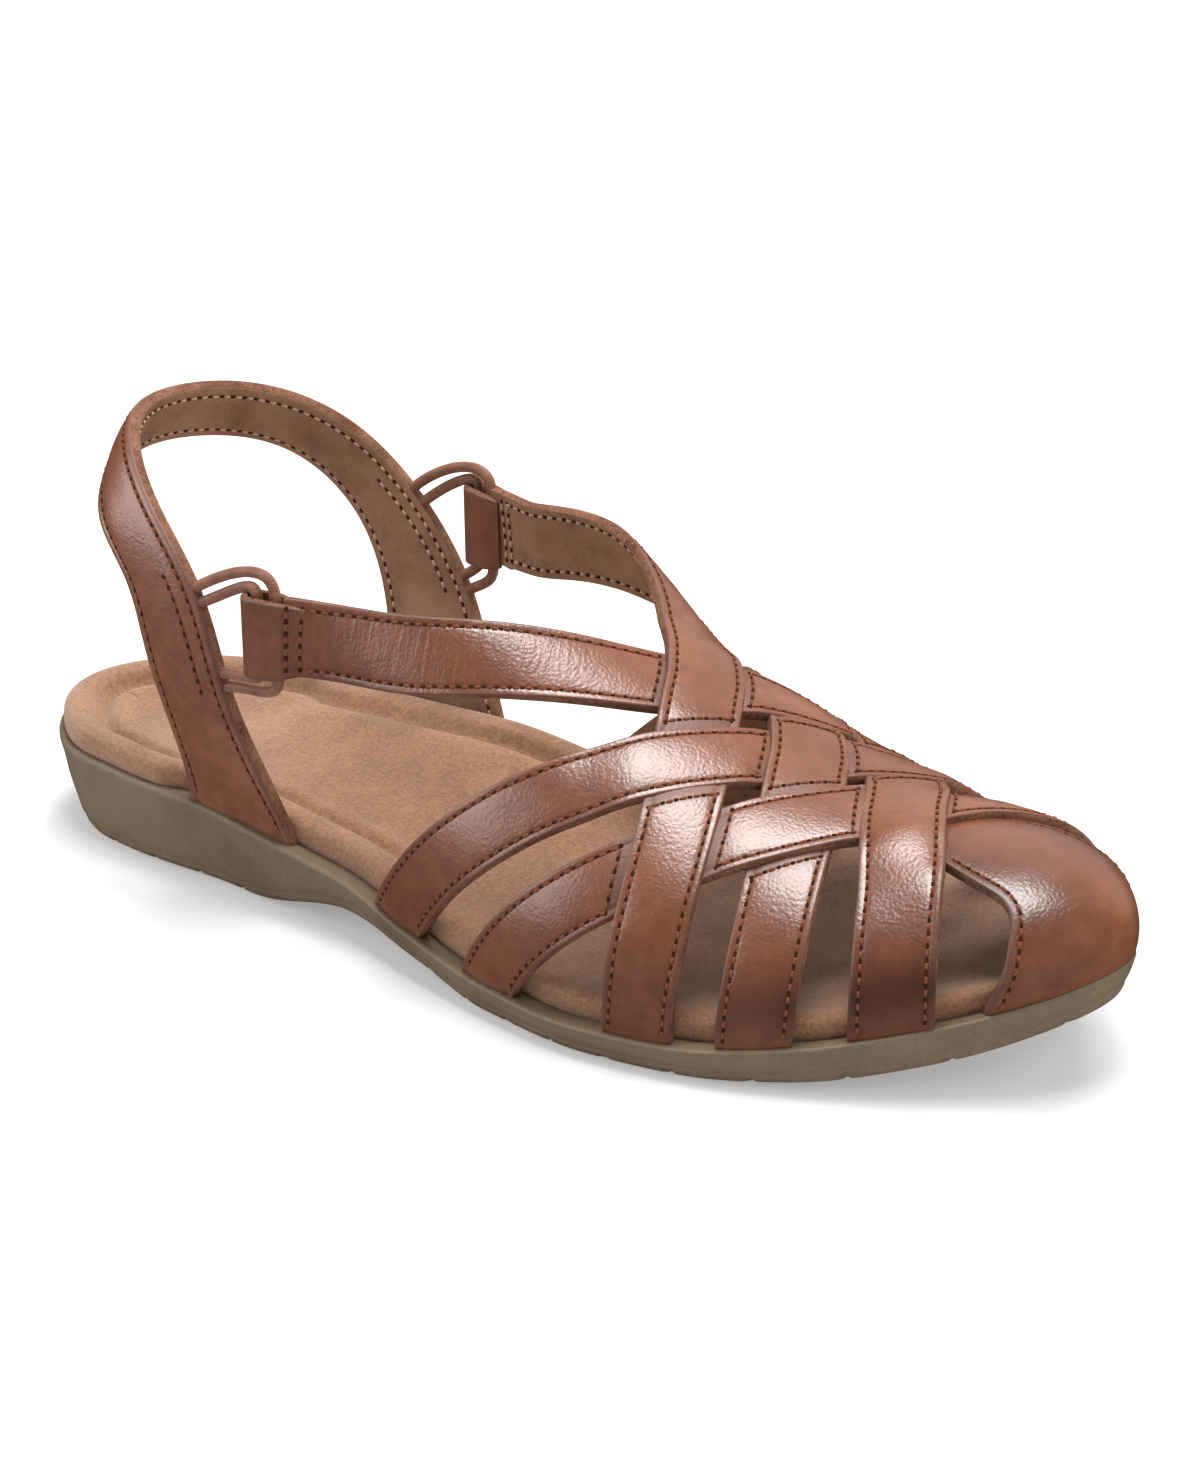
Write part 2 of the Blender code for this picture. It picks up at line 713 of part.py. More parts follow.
def make_strap(name, grids, cap_points, where):
    """One woven strap: a sheet on the last, lifted a layer where it lies over another strap or the cap."""
    points, normals, _ = grids[name]
    lift = np.zeros(points.shape[:2])
    for under in STRAP_LIES_OVER[name]:
        distance = near_line(points, grids[under][2])
        lift = np.maximum(lift, fade(distance, STRAP_WIDTH / 2 + LIFT_MARGIN, LIFT_FADE))
    if name in STRAPS_OVER_CAP:
        lift = lift + fade(near_line(points, cap_points), CAP_LIFT, LIFT_FADE)
    lift = (lift * (WALL - LAYER_SINK))[..., None]
    return sheet(name, points + normals * lift, WALL, where)


def make_toe_cap(where):
    turn = np.linspace(TOE_CAP[0].turn, TOE_CAP[-1].turn, CAP_COLUMNS + 1)
    rear = smooth(column(TOE_CAP, "turn"), column(TOE_CAP, "rear"), turn)
    share = np.sin(np.linspace(0, 1, CAP_ROWS + 1) * math.pi / 2)
    x = rear + (TOE_TIP - TIP_PINCH - rear) * share[:, None]
    spread = np.broadcast_to(turn, x.shape)
    points = last_point(x, spread)
    normals = last_frame(x, spread)[2]
    return band_solid("toe_cap", points, points + normals * WALL, where)


def cap_reach():
    """Points all over the toe cap, to tell where a strap lies on it."""
    turn = np.linspace(-CAP_LAP_TURN, CAP_LAP_TURN, CAP_LAP_COLUMNS + 1)
    rear = smooth(column(TOE_CAP, "turn"), column(TOE_CAP, "rear"), turn)
    x = rear + (CAP_LAP_FRONT - rear) * np.linspace(0, 1, CAP_LAP_ROWS + 1)[:, None]
    return last_point(x, np.broadcast_to(turn, x.shape)).reshape(-1, 3)


def tunnel_frame(grids, name):
    points, normals, centre = grids[name]
    start = centre[0] + normals[0, points.shape[1] // 2] * WALL / 2
    along = unit((centre[2] - centre[0]) * (1, 1, 0))
    up = np.array([0.0, 0.0, 1.0])
    out = np.cross(along, up)
    if out[1] * centre[0, 1] < 0:
        out = -out
    return start, along, up, out


def prism(name, frame, profile, height, where):
    """Straight prism: a profile of (along, out) pairs, centred on the frame and as tall as height."""
    start, along, up, out = frame
    flat = [start + a * along + o * out - up * height / 2 for a, o in profile]
    body = bmesh.new()
    base = body.faces.new([body.verts.new(point * MM) for point in flat])
    raised = bmesh.ops.extrude_face_region(body, geom=[base], use_keep_orig=True)["geom"]
    tops = [item for item in raised if isinstance(item, bmesh.types.BMVert)]
    bmesh.ops.translate(body, verts=tops, vec=up * height * MM)
    bmesh.ops.recalc_face_normals(body, faces=body.faces)
    mesh = bpy.data.meshes.new(name)
    body.to_mesh(mesh)
    body.free()
    made = bpy.data.objects.new(name, mesh)
    where.objects.link(made)
    face_out(made)
    return made


def tunnel_profile():
    """Fold of the strap's end: round at the free end, tapering on to the strap."""
    half = TUNNEL_THICK / 2
    arc = np.linspace(math.pi / 2, 3 * math.pi / 2, TUNNEL_ARC)
    round_end = [(half * math.cos(a), half * math.sin(a)) for a in arc]
    tail = TUNNEL_LENGTH - half
    taper = [(tail, -TUNNEL_TAPER / 2), (tail, TUNNEL_TAPER / 2)]
    return round_end + [(TUNNEL_SHOULDER, -half)] + taper + [(TUNNEL_SHOULDER, half)]


def slot_profile():
    """Stadium that the loops run through inside the fold."""
    half = SLOT_THICK / 2
    reach = SLOT_LENGTH - SLOT_THICK
    arc = np.linspace(math.pi / 2, 3 * math.pi / 2, SLOT_ARC)
    near = [(half * math.cos(a), half * math.sin(a)) for a in arc]
    far = [(reach - half * math.cos(a), -half * math.sin(a)) for a in arc]
    return near + far


def heel_edges(steps):
    """Front and rear edge of the heel strap from the lateral sole round the heel to the medial sole."""
    there = [(row, -1, 0.0, 0.0) for row in HEEL_STRAP]
    back = [(row, 1, row.forward, row.pinch) for row in HEEL_STRAP[-2::-1]]
    front = []
    rear = []
    for row, side, forward, pinch in there + back:
        front.append((row.x_front + forward, side * (row.spread_front - pinch), row.z_front))
        rear.append((row.x_rear + forward * HEEL_REAR_FORWARD, side * row.spread_rear, row.z_rear))
    front = np.array(front)
    rear = np.array(rear)
    middle = (front + rear) / 2
    knots = np.r_[0, np.cumsum(np.linalg.norm(np.diff(middle, axis=0), axis=1))]
    even = np.linspace(0, knots[-1], steps + 1)
    front = np.stack([flowing(knots, front[:, i], even) for i in range(3)], -1)
    rear = np.stack([flowing(knots, rear[:, i], even) for i in range(3)], -1)
    return front, rear


def make_heel_strap(where):
    """Padded band round the heel: thin at both edges, thickest along its middle."""
    front, rear = heel_edges(HEEL_STEPS)
    t = np.linspace(0, 1, HEEL_ACROSS + 1)[:, None]
    middle = front[:, None] * (1 - t) + rear[:, None] * t
    run = unit(np.gradient((front + rear) / 2, axis=0))
    normal = unit(np.cross(unit(rear - front), run))
    flip = np.sign(np.einsum("ni,ni->n", normal, (front + rear) / 2 - HEEL_CENTRE))
    normal = (normal * flip[:, None])[:, None]
    pad = HEEL_EDGE + (HEEL_PAD - HEEL_EDGE) * np.sin(math.pi * t) ** HEEL_PAD_POWER
    inner = middle - normal * pad * HEEL_PAD_INSIDE
    outer = middle + normal * pad * (1 - HEEL_PAD_INSIDE)
    return band_solid("heel_strap", inner, outer, where)


def make_cord(name, points, where):
    curve = bpy.data.curves.new(name, "CURVE")
    curve.dimensions = "3D"
    curve.bevel_depth = CORD / 2 * MM
    curve.bevel_resolution = 2
    curve.use_fill_caps = True
    spline = curve.splines.new("POLY")
    spline.points.add(len(points) - 1)
    for slot, point in zip(spline.points, points):
        slot.co = (*(point * MM), 1.0)
    made = bpy.data.objects.new(name, curve)
    where.objects.link(made)
    return made


def bend(first, lead, follow, last, steps):
    """Cubic bend between two points with the handles given."""
    t = np.linspace(0, 1, steps)[:, None]
    start = (1 - t) ** 3 * first + 3 * t * (1 - t) ** 2 * lead
    return start + 3 * t * t * (1 - t) * follow + t**3 * last


def loop_points(frame, loop, top, bottom):
    """One elastic loop: out of the heel strap's edge, over, down through the tunnel, and back below."""
    start, along, up, out = frame
    inside = start + along * loop.pull
    above = inside + up * STRAP_WIDTH / 2
    below = inside - up * STRAP_WIDTH / 2
    far = np.linalg.norm(above - top[0])
    near = np.linalg.norm(below - bottom[0])
    lead = top[0] + top[1] * far * CORD_LEAD
    follow = bottom[0] + bottom[1] * near * CORD_LEAD
    over = bend(top[0], lead, above + up * far * loop.arch, above, CORD_STEPS_OVER)
    under = bend(below, below - up * near * loop.tuck, follow, bottom[0], CORD_STEPS_UNDER)
    return np.concatenate([over, [inside], under])


def edge_spot(front, rear, side, height):
    """Point on the heel strap's front edge at a height, and the way out of that edge."""
    half = len(front) // 2
    pick = range(0, half) if side < 0 else range(len(front) - 1, half, -1)
    heights = np.array([front[i, 2] for i in pick])
    edge = np.array([front[i] for i in pick])
    run = unit(np.gradient(edge, axis=0))
    way = np.array([front[i] - rear[i] for i in pick])
    way = unit(way - run * np.einsum("ni,ni->n", way, run)[:, None])
    spot = np.array([np.interp(height, heights, edge[:, i]) for i in range(3)])
    return spot, unit(np.array([np.interp(height, heights, way[:, i]) for i in range(3)]))


def finish(made, look):
    """Give an object its own material, and shade it smooth between its creases."""
    material = bpy.data.materials.new(made.name)
    material.use_nodes = True
    shader = material.node_tree.nodes["Principled BSDF"]
    shader.inputs["Base Color"].default_value = (*look.colour, 1.0)
    shader.inputs["Roughness"].default_value = look.roughness
    shader.inputs["Metallic"].default_value = 0.0
    made.data.materials.clear()
    made.data.materials.append(material)
    if made.type == "MESH":
        made.data.shade_smooth()
        made.data.set_sharp_from_angle(angle=SMOOTH_ANGLE)


shoe = bpy.data.collections.new("slingback_sandal")
cutters = bpy.data.collections.new("cutters")
bpy.context.scene.collection.children.link(shoe)
bpy.context.scene.collection.children.link(cutters)

outsole = make_outsole(shoe)
footbed = make_footbed(shoe)
ground_cutter = make_ground_cutter(cutters)

grids = {}
for strap_name, strap_rows in STRAPS.items():
    grids[strap_name] = strap_grid(strap_rows, [STRAP_WIDTH / 2 * share for share in STRAP_ACROSS])
lap_points = cap_reach()
upper = make_toe_cap(shoe)
upper.name = "upper"
for strap_name in STRAPS:
    combine(upper, make_strap(strap_name, grids, lap_points, cutters), "UNION")

heel_strap = make_heel_strap(shoe)
combine(heel_strap, ground_cutter, "DIFFERENCE")
front_edge, rear_edge = heel_edges(HEEL_EDGE_STEPS)
cords = []
for strap_name, side in (("ankle_lateral", -1), ("ankle_medial", 1)):
    place = tunnel_frame(grids, strap_name)
    word = strap_name.split("_")[1]
    tunnel = prism("tunnel_" + word, place, tunnel_profile(), STRAP_WIDTH, cutters)
    slot = prism("slot_" + word, place, slot_profile(), STRAP_WIDTH * 2, cutters)
    combine(upper, tunnel, "UNION")
    combine(upper, slot, "DIFFERENCE")
    for loop in LOOPS:
        ends = []
        for height in (loop.top, loop.bottom):
            spot, way = edge_spot(front_edge, rear_edge, side, height)
            ends.append((spot + way * FIT_GAP, way))
        line = loop_points(place, loop, *ends)
        cords.append(make_cord(f"elastic_{word}_{loop.name}", line, shoe))
combine(upper, ground_cutter, "DIFFERENCE")

settle(upper)

finish(outsole, RUBBER)
finish(footbed, SUEDE)
finish(upper, LEATHER)
finish(heel_strap, LEATHER)
for cord in cords:
    finish(cord, ELASTIC)

for helper in cutters.objects:
    helper.hide_render = True
    helper.display_type = "WIRE"

bpy.context.view_layer.update()
graph = bpy.context.evaluated_depsgraph_get()
corners = []
for item in shoe.objects:
    mesh = item.evaluated_get(graph).to_mesh()
    spots = np.empty(len(mesh.vertices) * 3)
    mesh.vertices.foreach_get("co", spots)
    corners.append(spots.reshape(-1, 3))
low = np.concatenate(corners).min(axis=0)
high = np.concatenate(corners).max(axis=0)
frame = bpy.data.objects.new("shoe_frame", None)
shoe.objects.link(frame)
frame.location = (-(low[0] + high[0]) / 2, -(low[1] + high[1]) / 2, -low[2])
for item in list(shoe.objects) + list(cutters.objects):
    if item is not frame:
        item.parent = frame
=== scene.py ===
"""Right slingback sandal for a studio picture, piece by piece in the order it is put together.

Tables are in millimetres in the heel's frame: x runs from the back of the heel to the toe, y is plus on
the medial side, z is the height above the ground. make_piece() moves them to the part's frame, in metres.
"""

import math
from collections import namedtuple

import bmesh
import bpy
import numpy as np
from mathutils import Matrix


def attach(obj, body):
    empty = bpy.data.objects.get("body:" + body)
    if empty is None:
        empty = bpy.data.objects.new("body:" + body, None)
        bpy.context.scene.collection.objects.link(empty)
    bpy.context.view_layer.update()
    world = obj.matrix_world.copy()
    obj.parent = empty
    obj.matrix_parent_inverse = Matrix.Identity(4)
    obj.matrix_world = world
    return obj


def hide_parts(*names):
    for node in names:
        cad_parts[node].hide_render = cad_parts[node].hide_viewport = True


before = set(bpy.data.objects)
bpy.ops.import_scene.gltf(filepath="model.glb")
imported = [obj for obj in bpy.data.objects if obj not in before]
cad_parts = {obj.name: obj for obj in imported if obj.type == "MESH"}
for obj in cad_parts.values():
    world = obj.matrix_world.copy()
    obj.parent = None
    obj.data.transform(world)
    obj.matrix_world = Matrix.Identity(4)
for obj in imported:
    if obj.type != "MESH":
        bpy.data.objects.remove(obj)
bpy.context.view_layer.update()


# Outsole
# The real piece is one moulding of olive-taupe rubber: heel block, lifted arch and turned-up toe.
# Its wall draws in towards the ground, carries a faint mould line, and tread grooves notch its lower edge.
MM = 0.001
HEEL_TO_CENTRE = np.array([-130.0, 2.771, 0.0])
WELD = 2e-6
SHARP = math.radians(50)
FINE_STEPS = 2000
SOLE_LENGTH = 260.0
SOLE_STEPS = 420
SOLE_ACROSS = 16
OUTSOLE_ROWS = 40
UNDERCUT_END = 30.0
MOULD_LINE_HEIGHT = 2.7
MOULD_LINE_DEPTH = 0.28
MOULD_LINE_HALF = 0.4
MOULD_LINE_SHARE = 0.9
TREAD_PITCH = 13.0
TREAD_HALF = 0.9
TREAD_DEPTH = 0.9
TREAD_BOW = 0.006
TREAD_FULL = 0.2
TREAD_FADE = 1.8
TREAD_HEEL = (12.0, 72.0)
TREAD_FORE = (132.0, 250.0)
TREAD_RUN_OUT = 6.0


def table(names, *rows):
    """Rows of numbers as named columns."""
    return namedtuple("Table", names)(*np.array(rows, float).T)


SOLE_PLAN = table(
    "x lateral medial",
    (3, 11.0, 11.0), (12, 21.6, 21.6), (33, 29.0, 30.2), (65, 31.4, 31.2), (95, 35.1, 30.4),
    (120, 42.4, 33.4), (145, 49.0, 39.2), (170, 52.3, 44.8), (195, 48.8, 46.8), (215, 41.4, 44.0),
    (235, 30.2, 32.6), (250, 18.6, 18.4), (257, 9.8, 9.0),
)
SOLE_EDGE = table(
    "x bottom lateral medial",
    (0, 3.0, 19.8, 19.8), (18, 0.0, 19.8, 19.8), (40, 0.0, 19.2, 19.6), (70, 0.0, 17.0, 19.0),
    (98, 5.0, 13.6, 17.5), (122, 3.0, 10.0, 14.0), (142, 0.0, 7.6, 9.6), (165, 0.0, 6.9, 7.4),
    (188, 0.0, 7.2, 7.4), (210, 1.3, 9.7, 9.7), (235, 6.6, 15.4, 15.4), (252, 12.8, 20.8, 20.8),
    (260, 16.4, 24.0, 24.0),
)
# Side wall from the ground up: share of the wall's height, inset, extra inset round the heel
OUTSOLE_WALL = table(
    "share inset undercut",
    (0.00, 4.4, 3.6), (0.04, 3.2, 3.0), (0.14, 2.4, 2.0), (0.36, 1.6, 1.2), (0.60, 0.8, 0.6),
    (0.80, 0.3, 0.4), (0.93, 0.0, 0.0), (1.00, 0.8, 0.0), (1.00, 5.0, 0.0),
)


def smooth(knots, values, at):
    """Monotone cubic through the knots: each slope is the weighted harmonic mean of its two chords."""
    knots = np.asarray(knots, float)
    values = np.asarray(values, float)
    at = np.asarray(at, float)
    step = np.diff(knots)
    rise = np.diff(values) / step
    slope = np.zeros_like(values)
    heavy = 2 * step[1:] + step[:-1]
    light = step[1:] + 2 * step[:-1]
    turning = rise[:-1] * rise[1:] <= 0
    safe = np.where(turning, 1.0, rise[:-1])
    other = np.where(turning, 1.0, rise[1:])
    slope[1:-1] = np.where(turning, 0.0, (heavy + light) / (heavy / safe + light / other))
    slope[0] = rise[0]
    slope[-1] = rise[-1]
    cell = np.clip(np.searchsorted(knots, at) - 1, 0, len(step) - 1)
    t = np.clip((at - knots[cell]) / step[cell], 0, 1)
    start = (1 + 2 * t) * (1 - t) ** 2 * values[cell] + t * (1 - t) ** 2 * step[cell] * slope[cell]
    end = t * t * (3 - 2 * t) * values[cell + 1] + t * t * (t - 1) * step[cell] * slope[cell + 1]
    return start + end


def fade(distance, full, fall):
    """One up to the distance full, then a smooth step down to zero over fall."""
    t = np.clip((distance - full) / fall, 0, 1)
    return 1 - t * t * (3 - 2 * t)


def bell(distance, half):
    """Bell curve: one at no distance, then e to the minus square of distance over half."""
    return np.exp(-((distance / half) ** 2))


def half_width(x, side):
    """Half width of the sole: a smooth factor times an ellipse, so both ends close round."""
    def ellipse(at):
        """Ellipse over the sole's length: twice the root of the share run times the share left."""
        share = np.clip(np.asarray(at, float) / SOLE_LENGTH, 0, 1)
        return 2 * np.sqrt(share * (1 - share))

    at = SOLE_PLAN.x
    return smooth(at, getattr(SOLE_PLAN, side) / ellipse(at), x) * ellipse(x)


def outline(side, inset, steps):
    """One side of the plan from heel to toe, moved in along its normals; x is half a cosine wave."""
    phase = np.linspace(0, math.pi, steps + 1)
    fine = np.linspace(0, math.pi, FINE_STEPS + 1)
    x = SOLE_LENGTH * (1 - np.cos(fine)) / 2
    y = half_width(x, side)
    dx = np.gradient(x, fine)
    dy = np.gradient(y, fine)
    length = np.hypot(dx, dy)
    dx[[0, -1]] = 0
    dy[0] = abs(dy[0])
    length[[0, -1]] = abs(dy[[0, -1]])
    x = np.interp(phase, fine, x)
    y = np.interp(phase, fine, y)
    inset = inset(x) if callable(inset) else inset
    return x + inset * np.interp(phase, fine, dy / length), y - inset * np.interp(phase, fine, dx / length)


def edge_height(x, side):
    """Height of the sole's bottom, or of its edge on one side: a smooth curve through the table."""
    return smooth(SOLE_EDGE.x, getattr(SOLE_EDGE, side), x)


def ring_of(inset, height):
    """Lateral and medial half of one level ring of the sole's plan, met at the heel and the toe."""
    left = outline("lateral", inset, SOLE_STEPS)
    right = outline("medial", inset, SOLE_STEPS)
    lateral = np.stack([left[0], -left[1], height(left[0], "lateral")], -1)
    medial = np.stack([right[0], right[1], height(right[0], "medial")], -1)
    lateral[[0, -1]] = medial[[0, -1]] = (lateral[[0, -1]] + medial[[0, -1]]) / 2
    return lateral, medial


def grid_quads(rows, columns, wrap=False, start=0):
    """Quads of a grid of rows by columns; wrap joins the last column to the first."""
    i, j = np.meshgrid(np.arange(rows - 1), np.arange(columns if wrap else columns - 1), indexing="ij")
    k = (j + 1) % columns
    quads = np.stack([i * columns + j, i * columns + k, (i + 1) * columns + k, (i + 1) * columns + j], -1)
    return quads.reshape(-1, 4) + start


def new_object(name, data):
    """New object, put into the scene."""
    made = bpy.data.objects.new(name, data)
    bpy.context.scene.collection.objects.link(made)
    return made


def make_piece(name, points, faces, materials, kinds=None, fields=None):
    """Object from points in millimetres: welded, faced outwards, shaded smooth, riding on the root."""
    mesh = bpy.data.meshes.new(name)
    mesh.from_pydata(((points + HEEL_TO_CENTRE) * MM).tolist(), [], faces)
    for material in materials:
        mesh.materials.append(material)
    if kinds is not None:
        mesh.polygons.foreach_set("material_index", np.asarray(kinds, np.int32))
    for label, values in (fields or {}).items():
        layer = mesh.attributes.new(label, "FLOAT", "POINT")
        layer.data.foreach_set("value", np.ascontiguousarray(values, np.float32).ravel())
    body = bmesh.new()
    body.from_mesh(mesh)
    bmesh.ops.remove_doubles(body, verts=body.verts, dist=WELD)
    bmesh.ops.recalc_face_normals(body, faces=body.faces)
    body.to_mesh(mesh)
    body.free()
    mesh.validate()
    mesh.shade_smooth()
    mesh.set_sharp_from_angle(angle=SHARP)
    made = new_object(name, mesh)
    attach(made, "root")
    return made


def sole_surface(rings, sink):
    """Wall of stacked rings, closed below and above by grids ruled across, each lowered by sink."""
    wall = np.stack([np.concatenate([lateral, medial[-2:0:-1]]) for lateral, medial in rings])
    t = np.linspace(0, 1, SOLE_ACROSS + 1)[:, None]
    points = [wall.reshape(-1, 3)]
    quads = [grid_quads(len(rings), 2 * SOLE_STEPS, wrap=True)]
    for level, (lateral, medial) in ((0, rings[0]), (1, rings[-1])):
        sheet = lateral[:, None] * (1 - t) + medial[:, None] * t
        span = np.linalg.norm(medial - lateral, axis=-1)[:, None]
        sheet[..., 2] -= sink(level, sheet, t[:, 0], span)
        quads.append(grid_quads(SOLE_STEPS + 1, SOLE_ACROSS + 1, start=sum(map(len, points))))
        points.append(sheet.reshape(-1, 3))
    return np.concatenate(points), np.concatenate(quads).tolist()


def tread(points, above):
    """How far the tread grooves lift the ground face: bowed bars at a pitch, fading with height above."""
    x = points[..., 0] + TREAD_BOW * points[..., 1] ** 2
    phase = np.abs((x / TREAD_PITCH) % 1 - 0.5) * TREAD_PITCH
    start, end, again, last = (fade(x, at, TREAD_RUN_OUT) for at in TREAD_HEEL + TREAD_FORE)
    where = (1 - start) * (end + 1 - again) * last
    groove = fade(phase, TREAD_HALF * 0.5, TREAD_HALF * 0.6)
    return TREAD_DEPTH * groove * where * fade(above, TREAD_FULL, TREAD_FADE)


def add(tree, kind, inputs=None, **settings):
    """New shader node: settings go on the node, inputs take a value or another node's output."""
    made = tree.nodes.new("ShaderNode" + kind)
    for label, value in settings.items():
        setattr(made, label, value)
    for label, value in (inputs or {}).items():
        if isinstance(value, bpy.types.NodeSocket):
            tree.links.new(value, made.inputs[label])
        else:
            made.inputs[label].default_value = value
    return made


def two_way(tree, kind, first, second, factor=None):
    """Math node of two inputs, or a colour mix when a factor is given."""
    if factor is None:
        return add(tree, "Math", {0: first, 1: second}, operation=kind).outputs[0]
    inputs = {0: factor, 6: first, 7: second}
    return add(tree, "Mix", inputs, data_type="RGBA", blend_type=kind).outputs[2]


def stretch(tree, value, low, high):
    """Spread the range from low to high over nought to one, smoothly."""
    inputs = {"Value": value, "From Min": low, "From Max": high}
    return add(tree, "MapRange", inputs, interpolation_type="SMOOTHSTEP").outputs[0]


def weigh(tree, *parts):
    """Sum of values, each times its weight."""
    total = None
    for value, weight in parts:
        part = two_way(tree, "MULTIPLY", value, weight)
        total = part if total is None else two_way(tree, "ADD", total, part)
    return total


def noise(tree, where, scale, detail=3.0, rough=0.55):
    """Cloudy noise with a scale in waves to the metre, and finer layers, each weaker by rough."""
    inputs = {"Vector": where, "Scale": scale, "Detail": detail, "Roughness": rough}
    return add(tree, "TexNoise", inputs).outputs[0]


def pattern(fill):
    """Node group with a Tone and a Height output, filled by a function of its tree and object position."""
    tree = bpy.data.node_groups.new(fill.__name__, "ShaderNodeTree")
    for label in ("Tone", "Height"):
        tree.interface.new_socket(label, in_out="OUTPUT", socket_type="NodeSocketFloat")
    tone, height = fill(tree, add(tree, "TexCoord").outputs["Object"])
    end = tree.nodes.new("NodeGroupOutput")
    tree.links.new(tone, end.inputs["Tone"])
    tree.links.new(height, end.inputs["Height"])
    return tree


def begin_material(name, group, dark, light, depth, strength, values):
    """Material whose colour runs from dark to light with a pattern's tone and whose bump is its height."""
    material = bpy.data.materials.new(name)
    material.use_nodes = True
    tree = material.node_tree
    shader = tree.nodes["Principled BSDF"]
    look = add(tree, "Group", node_tree=group)
    colour = two_way(tree, "MIX", (*dark, 1.0), (*light, 1.0), look.outputs["Tone"])
    inputs = {"Strength": strength, "Distance": depth * MM, "Height": look.outputs["Height"]}
    bump = add(tree, "Bump", inputs)
    tree.links.new(colour, shader.inputs["Base Color"])
    tree.links.new(bump.outputs["Normal"], shader.inputs["Normal"])
    for label, value in values.items():
        shader.inputs[label].default_value = value
    return material, tree, shader, colour, bump


def rubber_skin(tree, where):
    """Fine speckle over slow cloudy scuffs."""
    speckle = noise(tree, where, 1400.0, 2.0)
    cloud = noise(tree, where, 45.0, 5.0, 0.6)
    tone = weigh(tree, (speckle, 0.35), (cloud, 0.65))
    return stretch(tree, tone, 0.3, 0.7), speckle


def profile(rows, position):
    """Every column of a profile at a place counted in rows: a smooth curve through its values."""
    return [smooth(np.arange(len(values)), values, position) for values in rows]


def wall_ring(position):
    """One ring of the wall between its ground row and its top row, with mould line and tread."""
    share, inset, undercut = profile(OUTSOLE_WALL, position)

    def height(x, side):
        """The ring's share of the way from the sole's bottom to its edge."""
        low = edge_height(x, "bottom")
        return low + (edge_height(x, side) - low) * share

    def drawn_in(x):
        """Inset of the ring, with the undercut round the heel and the mould line."""
        above = height(x, "lateral") - edge_height(x, "bottom")
        line = MOULD_LINE_DEPTH * bell(above - MOULD_LINE_HEIGHT, MOULD_LINE_HALF)
        return inset + undercut * fade(x, 0, UNDERCUT_END) + line * (share < MOULD_LINE_SHARE)

    lateral, medial = ring_of(drawn_in, height)
    for line in (lateral, medial):
        line[:, 2] += tread(line, line[:, 2] - edge_height(line[:, 0], "bottom"))
    return lateral, medial


RUBBER_DARK = (0.140, 0.100, 0.058)
RUBBER_LIGHT = (0.205, 0.151, 0.093)
rubber = begin_material(
    "outsole_rubber", pattern(rubber_skin), RUBBER_DARK, RUBBER_LIGHT, 0.08, 0.25,
    {"Roughness": 0.5, "Specular IOR Level": 0.45},
)[0]
rings = [wall_ring(position) for position in np.linspace(0, len(OUTSOLE_WALL.share) - 1, OUTSOLE_ROWS)]
points, quads = sole_surface(rings, lambda level, sheet, t, span: -tread(sheet, 0.0) * (level == 0))
outsole = make_piece("outsole_moulding", points, quads, [rubber])
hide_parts("outsole")


# Footbed
# A cupped, foam-padded insole under tan suede that is glued on the sole's ledge inside the straps.
# A soft roll runs round its rim, with a crease between the roll and the dished middle at the heel.
LEDGE = 1.6
WALL = 2.2
INSET = LEDGE + WALL
FIT_GAP = 0.3
FOOTBED_ROWS = 44
TOE_EASE = 0.45
TOE_EASE_FROM = 215.0
DISH_SPAN = 30.0
DISH_SHARE = 0.5
CREASE_INSET = 8.4
CREASE_HALF = 1.9
CREASE_DEPTH = 2.4
CREASE_END = 135.0
CREASE_FALL = 25.0
FOOTBED_TUCK = table(
    "x tuck",
    (0, 1.2), (44, 1.2), (54, INSET + FIT_GAP), (260, INSET + FIT_GAP),
)
FOOTBED_RIM = table(
    "x lateral medial dip",
    (0, 5.2, 5.2, 2.6), (35, 5.0, 5.6, 3.0), (70, 5.2, 7.6, 2.6), (100, 5.8, 10.0, 2.2),
    (130, 5.8, 8.2, 1.6), (165, 5.4, 5.8, 1.2), (210, 5.2, 5.2, 1.0), (260, 4.6, 4.6, 1.0),
)
FOOTBED_SIDE = table(
    "rise inset dip",
    (-0.30, 1.2, 0.0), (0.22, 0.0, 0.0), (0.66, 0.1, 0.0), (0.92, 1.1, 0.0), (1.00, 2.8, 0.0),
    (0.98, 5.5, 0.1), (1.00, 9.5, 0.6), (1.00, 14.0, 1.0),
)


def bed_ring(position):
    """One ring of the footbed's side and top: its rise over the sole's edge, less dip and crease."""
    rise, inset, share = profile(FOOTBED_SIDE, position)

    def height(x, side):
        """Sole's edge plus the ring's share of the rim, less its share of the dip and the crease."""
        rim = smooth(FOOTBED_RIM.x, getattr(FOOTBED_RIM, side), x)
        dip = smooth(FOOTBED_RIM.x, FOOTBED_RIM.dip, x)
        crease = CREASE_DEPTH * bell(inset - CREASE_INSET, CREASE_HALF)
        crease = crease * fade(x, CREASE_END - CREASE_FALL, CREASE_FALL)
        return edge_height(x, side) + FIT_GAP + (rim - FIT_GAP) * rise - dip * share - crease

    def drawn_in(x):
        """Tuck inside the sole's edge plus the ring's inset, eased towards the toe."""
        tuck = smooth(FOOTBED_TUCK.x, FOOTBED_TUCK.tuck, x)
        return tuck + inset * (1 - TOE_EASE * (1 - fade(x, TOE_EASE_FROM, SOLE_LENGTH - TOE_EASE_FROM)))

    return ring_of(drawn_in, height)


